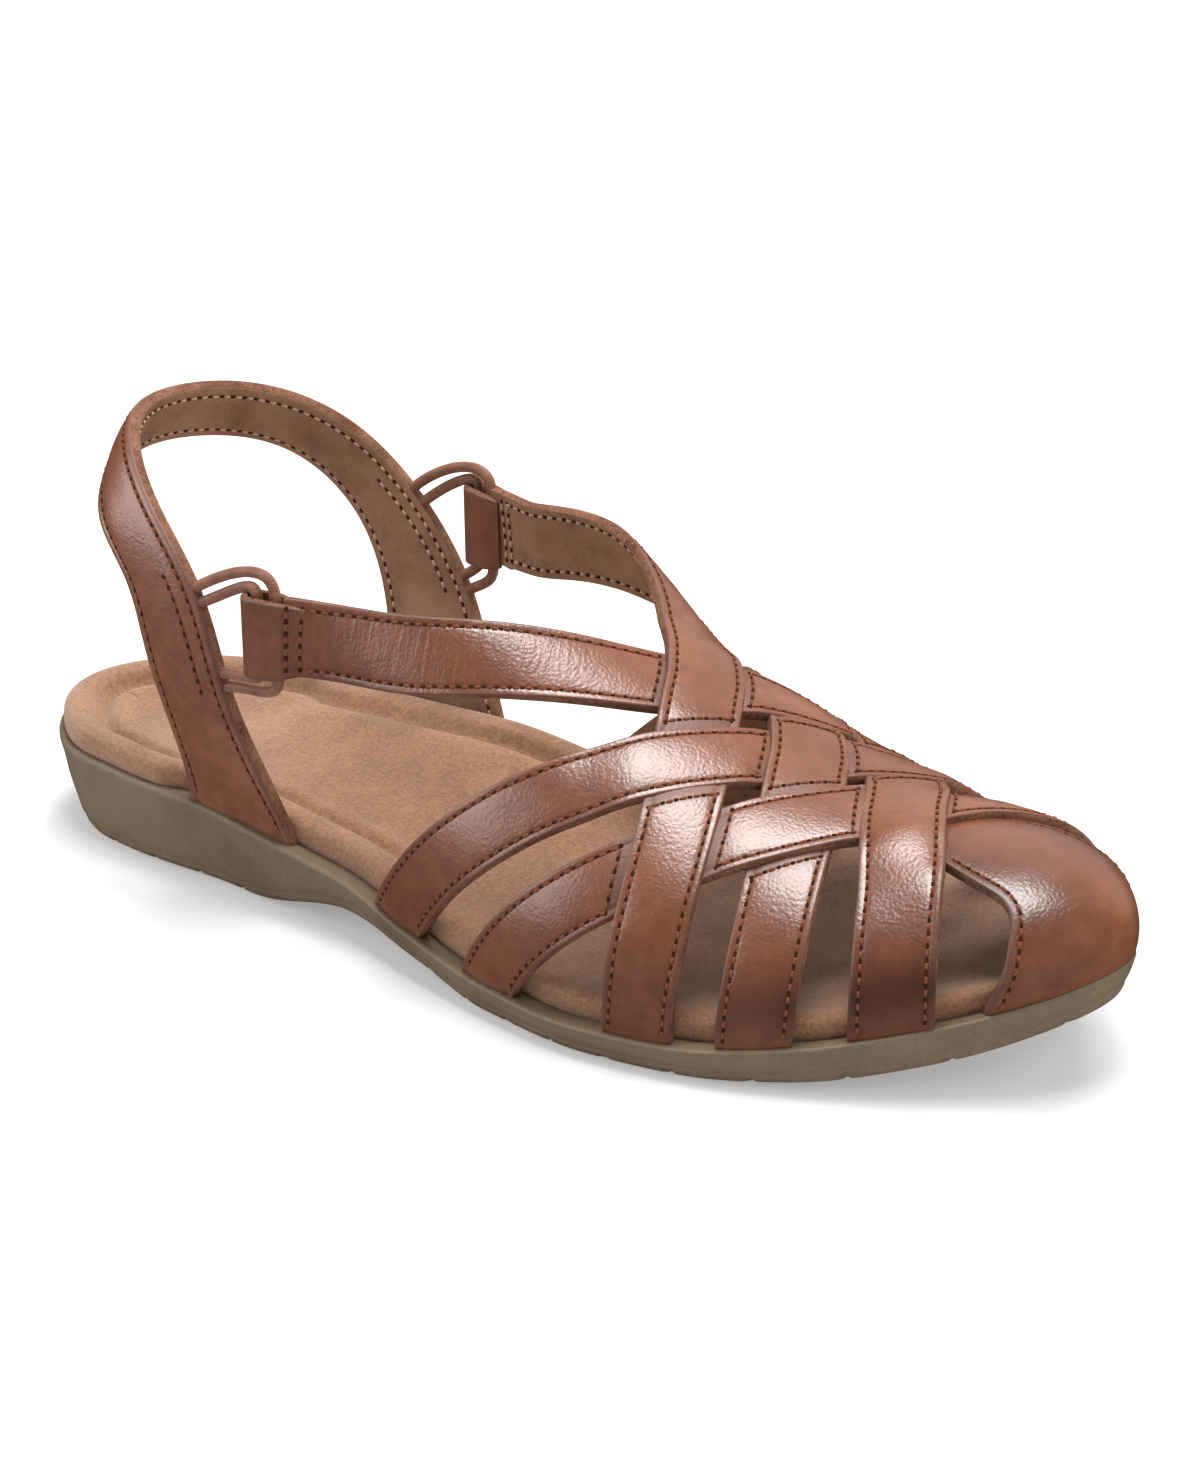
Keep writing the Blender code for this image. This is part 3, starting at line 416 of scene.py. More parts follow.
def bed_sink(level, sheet, t, span):
    """Dish of the middle: half a sine across, only where the bed is wide; the underside stays ruled."""
    dip = smooth(FOOTBED_RIM.x, FOOTBED_RIM.dip, sheet[..., 0])
    return level * DISH_SHARE * dip * np.sin(math.pi * t) * (1 - fade(span, 0, DISH_SPAN))


def suede_nap(tree, where):
    """Brushed patches under tufts of about a millimetre, with short fibres on top."""
    patch = noise(tree, where, 90.0, 5.0, 0.65)
    tuft = noise(tree, where, 1150.0, 3.0, 0.65)
    fibre = noise(tree, where, 2800.0, 2.0)
    tone = weigh(tree, (patch, 0.28), (tuft, 0.52), (fibre, 0.2))
    return stretch(tree, tone, 0.36, 0.64), weigh(tree, (tuft, 0.7), (fibre, 0.3))


SUEDE_DARK = (0.198, 0.092, 0.045)
SUEDE_LIGHT = (0.326, 0.172, 0.095)
suede = begin_material(
    "footbed_suede", pattern(suede_nap), SUEDE_DARK, SUEDE_LIGHT, 0.35, 0.6,
    {"Roughness": 0.95, "Specular IOR Level": 0.15, "Sheen Weight": 0.25, "Sheen Roughness": 0.6},
)[0]
rings = [bed_ring(position) for position in np.linspace(0, len(FOOTBED_SIDE.rise) - 1, FOOTBED_ROWS)]
points, quads = sole_surface(rings, bed_sink)
footbed = make_piece("footbed_pad", points, quads, [suede])
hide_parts("footbed")


# Toe cap
# A vamp of grained brown leather on a lining, pulled over the last and lasted under the footbed.
# Its rear edge is turned over and stitched; the two toe straps run across it.
TOE_TIP = SOLE_LENGTH - INSET
TOE_POWER = 4
TOE_CENTRE = 225.0
RIDGE_FADE = 20.0
SIDE_BULGE = 2.2
TOE_BULGE = 2.0
TOE_BULGE_RUN = 18.0
BULGE_POWER = 0.75
BULGE_CORE = 5.0
FLARE_HEIGHT = 48.0
FLARE_LIMIT = 1.2
FLARE_TURN = 1.5
SINK_IN_SOLE = 2.0
EDGE_ROUND = 0.28
EDGE_REACH = 0.45
EDGE_BULGE = 0.12
EDGE_LEVELS = (0.33, 0.67)
WALK_STEP = 1.2
DENT_DEPTH = 0.14
DENT_HALF = 0.45
SEAM_INSET = 1.8
CROWN = 0.3
CAP_COLUMNS = 150
CAP_ROWS = 60
TIP_PINCH = 0.02
# Darker band on the cap's shoulders: painted shade standing in for a dark reflection, with some burnish
CAP_BURNISH_AND_SHADE = 0.62
CAP_BURNISH_AND_SHADE_TURN = 0.29
CAP_BURNISH_AND_SHADE_HALF = 0.21
CAP_BURNISH_AND_SHADE_END = 242.0
CAP_RIM = 0.8
CAP_HALF = 16.0
CAP_CROWDING = 1.35
LAST = table(
    "x top ridge lateral medial",
    (60, 128, 0, 2.2, 2.2), (83, 116, 0, 2.2, 2.2), (100, 101, 0, 2.2, 2.3), (125, 82, 1, 2.2, 3.7),
    (150, 63, 1, 2.2, 2.4), (170, 53, 1.5, 2.15, 2.0), (190, 44.8, 1.5, 2.1, 1.85),
    (210, 41, 1.5, 2.1, 1.85), (228, 40, 1.5, 2.2, 1.95), (242, 38.4, 1.5, 2.25, 2.05),
    (252, 32.6, 2, 2.3, 2.1),
)
ANKLE_FLARE = table(
    "x flare",
    (60, 10), (83, 8), (100, 4.5), (125, 1), (150, 0),
)
TOE_CAP = table(
    "turn rear",
    (-1.12, 240), (-0.9, 242), (-0.7, 243), (-0.53, 242.2), (-0.43, 241), (-0.35, 238.5),
    (-0.265, 231.5), (-0.15, 221), (0, 219), (0.13, 223), (0.25, 231), (0.36, 240), (0.52, 244.5),
    (0.75, 245), (1.12, 243),
)
FEATHER = {side: outline(side, INSET, FINE_STEPS) for side in ("lateral", "medial")}


def feather_width(x, side):
    """Half width of the last at the sole, read along the plan's inset outline by its cosine phase."""
    line_x, line_y = FEATHER[side]
    low = line_x[0]
    span = line_x[-1] - low
    phase = np.arccos(np.clip(1 - 2 * (np.asarray(x, float) - low) / span, -1, 1))
    known = np.arccos(np.clip(1 - 2 * (line_x - low) / span, -1, 1))
    return np.interp(phase, known, np.maximum(line_y, 0))


def toe_round(x):
    """Share of the last's height left at x: root of one less a power of the share of its length."""
    share = np.clip(np.asarray(x, float) / TOE_TIP, 0, 1)
    return np.sqrt(1 - share**TOE_POWER)


def last_point(x, turn):
    """Point of the last: a superellipse section at x, its angle set by turn, bulged outwards in plan."""
    x, turn = np.broadcast_arrays(np.asarray(x, float), np.asarray(turn, float))
    at = LAST.x
    lateral = edge_height(x, "lateral")
    medial = edge_height(x, "medial")
    middle = (edge_height(at, "lateral") + edge_height(at, "medial")) / 2
    full = smooth(at, (LAST.top - middle) / toe_round(at), x)
    feather = np.where(turn < 0, lateral, medial)
    height = (lateral + medial) / 2 + full * toe_round(x) - feather
    width = np.where(turn < 0, -feather_width(x, "lateral"), feather_width(x, "medial"))
    ridge = smooth(at, LAST.ridge, x) * np.minimum(1, np.abs(width) / RIDGE_FADE)
    lateral_power = smooth(at, LAST.lateral, x)
    power = np.where(turn < 0, lateral_power, smooth(at, LAST.medial, x))
    sine = np.abs(np.sin(turn * math.pi / 2))
    cosine = np.cos(turn * math.pi / 2)
    radius = (sine**power + np.abs(cosine) ** power) ** (-1 / power)
    y = ridge + (width - ridge) * radius * sine
    z = feather + height * radius * cosine
    above = np.clip(z - feather, 0, None)
    flare = smooth(ANKLE_FLARE.x, ANKLE_FLARE.flare, x)
    raised = np.clip(above / FLARE_HEIGHT, 0, FLARE_LIMIT)
    y = y + np.sign(width) * flare * raised * np.clip(FLARE_TURN * sine, 0, 1)
    ahead = np.maximum(x - TOE_CENTRE, 0)
    amount = SIDE_BULGE + TOE_BULGE * np.minimum(ahead / TOE_BULGE_RUN, 1)
    bulge = amount * np.sin(math.pi * np.clip(above / full, 0, 1) ** BULGE_POWER)
    aside = y - ridge
    reach = np.sqrt(ahead**2 + aside**2 + BULGE_CORE**2)
    return np.stack([x + bulge * ahead / reach, y + bulge * aside / reach, z], -1)


def unit(v):
    """Vectors scaled to length one."""
    return v / np.linalg.norm(v, axis=-1, keepdims=True)


def way_along(line):
    """Way along a line of points: differences of neighbours, scaled to length one."""
    return unit(np.gradient(line, axis=0))


def last_frame(x, turn):
    """Two tangents of the last by central differences, and the outward normal."""
    small_x, small_turn = 0.4, 0.004
    x = np.minimum(x, TOE_TIP - 2 * small_x)
    along = (last_point(x + small_x, turn) - last_point(x - small_x, turn)) / (2 * small_x)
    around = (last_point(x, turn + small_turn) - last_point(x, turn - small_turn)) / (2 * small_turn)
    return along, around, unit(np.cross(along, around))


def near_line(points, line):
    """Distance of each point to the nearest point of a line."""
    flat = points.reshape(-1, 3)
    square = (flat**2).sum(1)[:, None] + (line**2).sum(1) - 2 * flat @ line.T
    return np.sqrt(np.maximum(square.min(axis=1), 0)).reshape(points.shape[:-1])


def walk(x, turn, heading, distances, widening=1.0):
    """Lines at signed distances from a line on the last, walked in short steps square to it."""
    widening = np.broadcast_to(widening, np.shape(x))[:, None]
    places = {}
    for sign in (-1, 1):
        here_x, here_turn, reached = x, turn, 0.0
        for offset in sorted({abs(d) for d in distances}):
            parts = int(math.ceil((offset - reached) / WALK_STEP))
            for _ in range(parts):
                along, around, normal = last_frame(here_x, here_turn)
                side = unit(np.cross(normal, heading)) * widening * sign * (offset - reached) / parts
                basis = np.stack([along, around], -1)
                square = np.einsum("nij,nik->njk", basis, basis)
                pull = np.einsum("nij,ni->nj", basis, side)
                move = np.linalg.solve(square, pull[..., None])[..., 0]
                here_x, here_turn = here_x + move[:, 0], here_turn + move[:, 1]
            reached = offset
            places[sign * offset] = (here_x, here_turn)
    spots = [places[d] for d in distances]
    points = np.stack([last_point(*spot) for spot in spots], 1)
    return points, np.stack([last_frame(*spot)[2] for spot in spots], 1)


def edge_rounding(inside):
    """Drop of a leather face towards its edge: a parabola over the rounding's reach."""
    return EDGE_ROUND * (1 - np.minimum(inside / EDGE_REACH, 1)) ** 2


def leather_top(inside, half):
    """Height of a strap's face: rounded at the edge, dented along the seam, crowned in the middle."""
    dent = DENT_DEPTH * bell(inside - SEAM_INSET, DENT_HALF)
    swell = CROWN * np.sin(math.pi / 2 * np.clip((inside - SEAM_INSET) / (half - SEAM_INSET), 0, 1))
    return WALL - edge_rounding(inside) - dent + swell


def sole_edge(points):
    """Height of the sole's edge on the side where each point lies."""
    lateral = edge_height(points[..., 0], "lateral")
    return np.where(points[..., 1] < 0, lateral, edge_height(points[..., 0], "medial"))


def into_sole(points):
    """Keep what runs down into the sole just under its edge."""
    points[..., 2] = np.maximum(points[..., 2], sole_edge(points) - SINK_IN_SOLE)
    return points


OUTER, EDGE, INNER = 0, 1, 2


def band(name, outer, inner, materials, fields, node="upper"):
    """Closed piece of ring sections: outer face, bulged edge, inner face back, the other bulged edge."""
    stations, width = outer.shape[:2]
    levels = np.array(EDGE_LEVELS)[:, None]
    ends = []
    for at, beside in ((-1, -2), (0, 1)):
        out = unit(outer[:, at] - outer[:, beside])[:, None]
        rows = outer[:, at, None] * (1 - levels) + inner[:, at, None] * levels + out * EDGE_BULGE
        ends.append(rows if at else rows[:, ::-1])
    ring = np.concatenate([outer, ends[0], inner[:, ::-1], ends[1]], 1)
    count = ring.shape[1]
    faces = grid_quads(stations, count, wrap=True).tolist()
    faces += [list(range(count)), list(range((stations - 1) * count, stations * count))]
    kind = np.repeat([OUTER, EDGE, INNER, EDGE], [width - 1, 3, width - 1, 3])
    kinds = np.r_[np.tile(kind, stations - 1), EDGE, EDGE]
    spread = {}
    for label, values in fields.items():
        values = np.broadcast_to(values, (stations, width))
        last = np.repeat(values[:, -1:], 2, 1)
        spread[label] = np.concatenate([values, last, values[:, ::-1], np.repeat(values[:, :1], 2, 1)], 1)
    made = make_piece(name, ring.reshape(-1, 3), faces, materials, kinds, spread)
    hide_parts(node)
    return made


def leather_grain(tree, where):
    """Pebbles of under a millimetre, finer pores, and slow rubbed patches for the tone."""
    warp = add(tree, "TexNoise", {"Vector": where, "Scale": 700.0, "Detail": 2.0}).outputs["Color"]
    bent = add(tree, "VectorMath", {0: warp, 1: (0.0004, 0.0004, 0.0004)}, operation="MULTIPLY").outputs[0]
    bent = add(tree, "VectorMath", {0: where, 1: bent}, operation="ADD").outputs[0]
    cells = add(tree, "TexVoronoi", {"Vector": bent, "Scale": 1500.0}, feature="SMOOTH_F1")
    pores = noise(tree, where, 2600.0, 2.0)
    wave = noise(tree, where, 190.0, 3.0)
    height = weigh(tree, (wave, 0.1), (cells.outputs["Distance"], -0.9), (pores, 0.25))
    patch = noise(tree, where, 38.0, 5.0, 0.6)
    small = noise(tree, where, 260.0, 4.0, 0.6)
    tone = weigh(tree, (patch, 0.62), (small, 0.38))
    return stretch(tree, tone, 0.34, 0.66), height


def field(tree, name):
    """One of the piece's own point values."""
    return add(tree, "Attribute", attribute_name=name).outputs["Fac"]


LEATHER_DARK = (0.142, 0.041, 0.017)
LEATHER_LIGHT = (0.216, 0.070, 0.030)
# Rim colour, also used for painted contact shade beside straps that lie over a strap
LEATHER_RIM_AND_SHADE = (0.090, 0.028, 0.015)
# Burnish colour, also used for painted shade: darker bands standing in for dark reflections
LEATHER_BURNISH_AND_SHADE = (0.055, 0.013, 0.005)
LEATHER_VALUES = {
    "Roughness": 0.34, "IOR": 1.6, "Specular IOR Level": 0.85, "Coat Weight": 0.1, "Coat Roughness": 0.45,
}
GRAIN_DEPTH = 0.13
GRAIN_STRENGTH = 0.6
RIM_SHADE = 0.5
RIM_DULL = 0.3
WRINKLE_DEPTH = 0.35
WRINKLE_STRENGTH = 0.5
WRINKLE_DRAWN = 0.12
grain = pattern(leather_grain)


def waxed_leather(name, dark, light):
    """Grained leather, darker at its rims, where burnished and in painted shade, as its point fields say;
    wrinkled across its run by crease.
    """
    made = begin_material(name, grain, dark, light, GRAIN_DEPTH, GRAIN_STRENGTH, LEATHER_VALUES)
    material, tree, shader, colour, bump = made
    rim = stretch(tree, field(tree, "rim"), 0.0, 1.0)
    # Rims darker, and on the straps painted contact shade beside covering straps, both mixed towards the
    # rim colour
    colour = two_way(tree, "MIX", colour, (*LEATHER_RIM_AND_SHADE, 1.0), weigh(tree, (rim, RIM_SHADE)))
    dull = two_way(tree, "ADD", weigh(tree, (rim, RIM_DULL)), LEATHER_VALUES["Roughness"])
    tree.links.new(dull, shader.inputs["Roughness"])
    # Painted shade with burnish: the burnish field darkens bands low on the straps and on the cap's
    # shoulders
    colour = two_way(tree, "MIX", colour, (*LEATHER_BURNISH_AND_SHADE, 1.0), field(tree, "burnish_and_shade"))
    tree.links.new(colour, shader.inputs["Base Color"])
    aside = weigh(tree, (field(tree, "aside"), WRINKLE_DRAWN))
    drawn_out = add(tree, "CombineXYZ", {0: field(tree, "run"), 1: aside}).outputs[0]
    wrinkle = stretch(tree, noise(tree, drawn_out, 0.62, 3.0, 0.5), 0.36, 0.6)
    wrinkle = two_way(tree, "MULTIPLY", wrinkle, field(tree, "crease"))
    inputs = {"Strength": WRINKLE_STRENGTH, "Distance": WRINKLE_DEPTH * MM, "Height": wrinkle}
    wrinkled = add(tree, "Bump", inputs | {"Normal": bump.outputs["Normal"]})
    tree.links.new(wrinkled.outputs["Normal"], shader.inputs["Normal"])
    return material


leather = waxed_leather("upper_leather", LEATHER_DARK, LEATHER_LIGHT)


def cut_fibre(tree, where):
    """Fuzzy cut edge of leather."""
    fuzz = noise(tree, where, 1500.0, 4.0, 0.7)
    patch = noise(tree, where, 160.0, 4.0)
    return stretch(tree, weigh(tree, (fuzz, 0.6), (patch, 0.4)), 0.34, 0.66), fuzz


def lining_pores(tree, where):
    """Smooth lining leather with scattered pores and slow patches."""
    spots = add(tree, "TexVoronoi", {"Vector": where, "Scale": 620.0}).outputs["Distance"]
    pore = stretch(tree, spots, 0.06, 0.22)
    patch = noise(tree, where, 90.0, 5.0, 0.6)
    tone = two_way(tree, "MULTIPLY", two_way(tree, "ADD", weigh(tree, (pore, 0.4)), 0.6), patch)
    return stretch(tree, tone, 0.25, 0.62), two_way(tree, "ADD", pore, patch)


CUT_DARK = (0.085, 0.032, 0.017)
CUT_LIGHT = (0.240, 0.115, 0.070)
cut_edge = begin_material(
    "leather_cut_edge", pattern(cut_fibre), CUT_DARK, CUT_LIGHT, 0.25, 0.6,
    {"Roughness": 0.85, "Specular IOR Level": 0.2},
)[0]
LINING_DARK = (0.178, 0.087, 0.043)
LINING_LIGHT = (0.285, 0.157, 0.086)
lining = begin_material(
    "leather_lining", pattern(lining_pores), LINING_DARK, LINING_LIGHT, 0.1, 0.35,
    {"Roughness": 0.62, "Specular IOR Level": 0.35},
)[0]
UPPER_MATERIALS = [leather, cut_edge, lining]

turn = np.linspace(TOE_CAP.turn[0], TOE_CAP.turn[-1], CAP_COLUMNS + 1)
rear = smooth(TOE_CAP.turn, TOE_CAP.rear, turn)
share = np.sin(np.linspace(0, 1, CAP_ROWS + 1) ** CAP_CROWDING * math.pi / 2)
cap_x = rear[:, None] + (TOE_TIP - TIP_PINCH - rear[:, None]) * share
cap_turn = np.broadcast_to(turn[:, None], cap_x.shape)
cap_base = last_point(cap_x, cap_turn)
cap_normal = last_frame(cap_x, cap_turn)[2]
inside = near_line(cap_base, cap_base[:, 0])
face = into_sole(cap_base + cap_normal * leather_top(inside, CAP_HALF)[..., None])
rim = bell(inside, CAP_RIM)
# Painted shade with burnish: a band along both shoulders of the cap, fading out towards the tip
burnish_and_shade = CAP_BURNISH_AND_SHADE * bell(np.abs(cap_turn) - CAP_BURNISH_AND_SHADE_TURN, CAP_BURNISH_AND_SHADE_HALF)
burnish_and_shade = burnish_and_shade * fade(cap_x, CAP_BURNISH_AND_SHADE_END, TOE_TIP - CAP_BURNISH_AND_SHADE_END)
run, aside = cap_base[..., 0], cap_base[..., 1]
fields = {"rim": rim, "burnish_and_shade": burnish_and_shade, "run": run, "aside": aside, "crease": 0.0}
band("toe_cap", face, into_sole(cap_base.copy()), UPPER_MATERIALS, fields)


# Woven straps
# Six straps of the same leather, two layers thick with raw edges, woven over and under each other.
# Each is lasted under the footbed at both ends; the two ankle straps start at a fold on the ankle.
STRAP_WIDTH = 16.4
STRAP_STEP = 0.9
LAYER_SINK = 0.7
LIFT_MARGIN = 0.6
LIFT_FADE = 12.0
CAP_LIFT = 3.0
FOLD_COVER = 6.0
# Darker band low on the straps towards the toe: painted shade standing in for a dark reflection, with some
# burnish
BURNISH_AND_SHADE = 0.75
BURNISH_AND_SHADE_HEIGHT = 9.0
BURNISH_AND_SHADE_HALF = 6.0
BURNISH_AND_SHADE_FROM = 170.0
BURNISH_AND_SHADE_RUN = 50.0
STRAP_RIM = 0.45
# Painted contact shade beside each strap that lies over another
CONTACT_SHADE = 0.7
CONTACT_REACH = 0.2
CONTACT_FALL = 3.0
WRINKLE_AT = 36.0
WRINKLE_FULL = 16.0
WRINKLE_FALL = 22.0
WRINKLE_GAIN = 0.2
WRINKLE_LEAST = 0.06
WRINKLE_OTHERS = 0.05
LANES = np.array([0.0, 0.15, 0.32, 0.5, 0.95, 1.35, 1.6, 1.8, 2.0, 2.3, 3.0, 4.8])
STRAP_HALF = STRAP_WIDTH / 2
STRAP_ACROSS = np.r_[LANES - STRAP_HALF, 0.0, (STRAP_HALF - LANES)[::-1]]
STRAP_INSIDE = STRAP_HALF - np.abs(STRAP_ACROSS)
STRAPS = {
    "ankle_lateral": table(
        "x turn width",
        (83, -0.685, 16.4), (104, -0.594, 15.0), (124, -0.470, 15.2), (141, -0.286, 15.3),
        (162, -0.01, 15.6), (177, 0.29, 15.0), (185.5, 0.62, 14.6), (186, 1.12, 14.4),
    ),
    "ankle_medial": table(
        "x turn width",
        (83, 0.69, 16.4), (105, 0.6, 16.4), (130, 0.5, 16.4), (148.5, 0.28, 16.4),
        (164.5, -0.045, 16.2), (176.5, -0.345, 14.8), (182.5, -0.72, 14.4), (180.5, -1.12, 14.4),
    ),
    "instep_lateral": table(
        "x turn width",
        (107, -1.12, 13.8), (127.5, -0.865, 13.8), (149, -0.585, 14.0), (166, -0.338, 14.4),
        (180.5, -0.11, 14.8), (192.5, 0.115, 16.0), (204, 0.42, 14.2), (211.5, 0.76, 14.4),
        (211, 1.12, 14.4),
    ),
    "instep_medial": table(
        "x turn width",
        (112, 1.12, 14.6), (133, 0.86, 14.8), (153.5, 0.59, 15.2), (170.5, 0.29, 15.8),
        (184, 0.06, 16.4), (193, -0.14, 16.0), (200.8, -0.4, 15.0), (205, -0.77, 14.6),
        (203, -1.12, 14.4),
    ),
    "toe_lateral": table(
        "x turn width",
        (138.5, -1.12, 13.2), (151, -0.893, 13.2), (167, -0.665, 13.4), (181, -0.467, 13.8),
        (196, -0.24, 15.8), (209.5, -0.02, 17.2), (222, 0.26, 14.6), (230.5, 0.58, 14.6),
        (232, 1.12, 14.4),
    ),
    "toe_medial": table(
        "x turn width",
        (140, 1.12, 14.6), (155, 0.87, 14.8), (172.5, 0.63, 15.2), (189.5, 0.375, 15.8),
        (204.5, 0.11, 16.4), (213, -0.08, 16.4), (223, -0.39, 16.2), (227.5, -0.76, 16.0),
        (226.5, -1.12, 16.0),
    ),
}
STRAP_LIES_OVER = {
    "ankle_lateral": ("instep_medial",),
    "ankle_medial": ("ankle_lateral", "toe_lateral"),
    "instep_lateral": ("ankle_medial", "toe_medial"),
    "instep_medial": ("instep_lateral",),
    "toe_lateral": ("instep_medial",),
    "toe_medial": ("ankle_lateral", "toe_lateral"),
}
STRAPS_OVER_CAP = ("toe_lateral", "toe_medial")


def flowing(knots, values, at):
    """Natural cubic through the knots, for lines that bend evenly."""
    step = np.diff(knots)
    count = len(knots)
    system = np.eye(count)
    bend = np.zeros(count)
    for i in range(1, count - 1):
        system[i, i - 1 : i + 2] = step[i - 1], 2 * (step[i - 1] + step[i]), step[i]
        bend[i] = 6 * ((values[i + 1] - values[i]) / step[i] - (values[i] - values[i - 1]) / step[i - 1])
    curve = np.linalg.solve(system, bend)
    cell = np.clip(np.searchsorted(knots, at) - 1, 0, count - 2)
    a = (knots[cell + 1] - at) / step[cell]
    b = 1 - a
    sag = ((a**3 - a) * curve[cell] + (b**3 - b) * curve[cell + 1]) * step[cell] ** 2 / 6
    return a * values[cell] + b * values[cell + 1] + sag


def walked_length(points):
    """Length run along a line of points, from its start."""
    return np.r_[0, np.cumsum(np.linalg.norm(np.diff(points, axis=0), axis=1))]


def strap_line(rows):
    """Centre line on the last at even steps, as x, turn, width and length run."""
    knots = walked_length(last_point(rows.x, rows.turn))
    fine = np.linspace(0, knots[-1], FINE_STEPS)
    fine_x = flowing(knots, rows.x, fine)
    fine_turn = flowing(knots, rows.turn, fine)
    walked = walked_length(last_point(fine_x, fine_turn))
    run = np.linspace(0, walked[-1], int(round(walked[-1] / STRAP_STEP)) + 1)
    width = smooth(knots, rows.width, np.interp(run, walked, fine))
    return np.interp(run, walked, fine_x), np.interp(run, walked, fine_turn), width, run


Strap = namedtuple("Strap", "centre run base normal")
straps = {}
for strap_name, rows in STRAPS.items():
    x, turn, width, run = strap_line(rows)
    centre = last_point(x, turn)
    sides = walk(x, turn, way_along(centre), STRAP_ACROSS.tolist(), width / STRAP_WIDTH)
    straps[strap_name] = Strap(centre, run, *sides)


def strap_lift(name, points):
    """Height of a strap above the last: one layer where it lies over another strap, and over the cap."""
    lift = np.zeros(points.shape[:-1])
    for under in STRAP_LIES_OVER[name]:
        distance = near_line(points, straps[under].centre)
        lift = np.maximum(lift, fade(distance, STRAP_HALF + LIFT_MARGIN, LIFT_FADE))
    if name in STRAPS_OVER_CAP:
        lift = lift + fade(near_line(points, cap_base[::2, ::3].reshape(-1, 3)), CAP_LIFT, LIFT_FADE)
    return lift * (WALL - LAYER_SINK)


def strap_faces(name):
    """Outer and inner face of a strap: its lines on the last, raised by the lift and its own height."""
    base, normal = straps[name].base, straps[name].normal
    inner = base + normal * strap_lift(name, base)[..., None]
    return inner + normal * leather_top(STRAP_INSIDE, STRAP_HALF)[:, None], inner


def covers(name):
    """Straps that lie over the one named."""
    return [over for over, under in STRAP_LIES_OVER.items() if name in under]


for strap_name, strap in straps.items():
    ankle = strap_name.startswith("ankle")
    keep = strap.run >= (FOLD_COVER if ankle else 0)
    outer, inner = (face[keep] for face in strap_faces(strap_name))
    base = strap.base[keep]
    rim = np.broadcast_to(bell(STRAP_INSIDE, STRAP_RIM), base.shape[:-1])
    # Painted contact shade: the face is darkened beside each strap that lies over it, carried in the rim
    # field
    for over in covers(strap_name):
        shade = fade(near_line(base, straps[over].centre), STRAP_HALF + CONTACT_REACH, CONTACT_FALL)
        rim = np.maximum(rim, CONTACT_SHADE * shade)
    run = strap.run[keep][:, None]
    wrinkle = WRINKLE_LEAST + WRINKLE_GAIN * fade(np.abs(run - WRINKLE_AT), WRINKLE_FULL, WRINKLE_FALL)
    # Painted shade with burnish: a band a little above the sole's edge, only towards the toe
    burnish_and_shade = BURNISH_AND_SHADE * bell(base[..., 2] - sole_edge(base) - BURNISH_AND_SHADE_HEIGHT, BURNISH_AND_SHADE_HALF)
    burnish_and_shade = burnish_and_shade * (1 - fade(base[..., 0], BURNISH_AND_SHADE_FROM, BURNISH_AND_SHADE_RUN))
    crease = wrinkle if ankle else WRINKLE_OTHERS
    fields = {"rim": rim, "burnish_and_shade": burnish_and_shade, "run": run, "aside": STRAP_ACROSS, "crease": crease}
    band("strap_" + strap_name, into_sole(outer), into_sole(inner), UPPER_MATERIALS, fields)


# Ankle folds
# The free end of each ankle strap is turned back on itself round the elastics and held by two seams.
# It is the strap's own leather, one layer thick round the turn.
FOLD_LEAF = 1.5
FOLD_THICK = 6.6
FOLD_SHOULDER = 3.6
FOLD_TAIL = 11.0
FOLD_FLARE = 0.35
FOLD_TAIL_SINK = 0.15
FOLD_INNER = 8.0
FOLD_TAPER = 1.0
FOLD_STEPS = 90
FOLD_RIM = 0.7
FOLD_WRINKLE = 0.1
FOLD_AIM = 12
FOLD_RADIUS = (FOLD_THICK - FOLD_LEAF) / 2


def fold_height(along):
    """Middle of the outer leaf above the strap's middle: full round the elastics, sinking to the tail."""
    tail = WALL / 2 - FOLD_TAIL_SINK - FOLD_LEAF / 2
    return tail + (FOLD_RADIUS - tail) * fade(along, FOLD_SHOULDER, FOLD_TAIL - FOLD_SHOULDER)


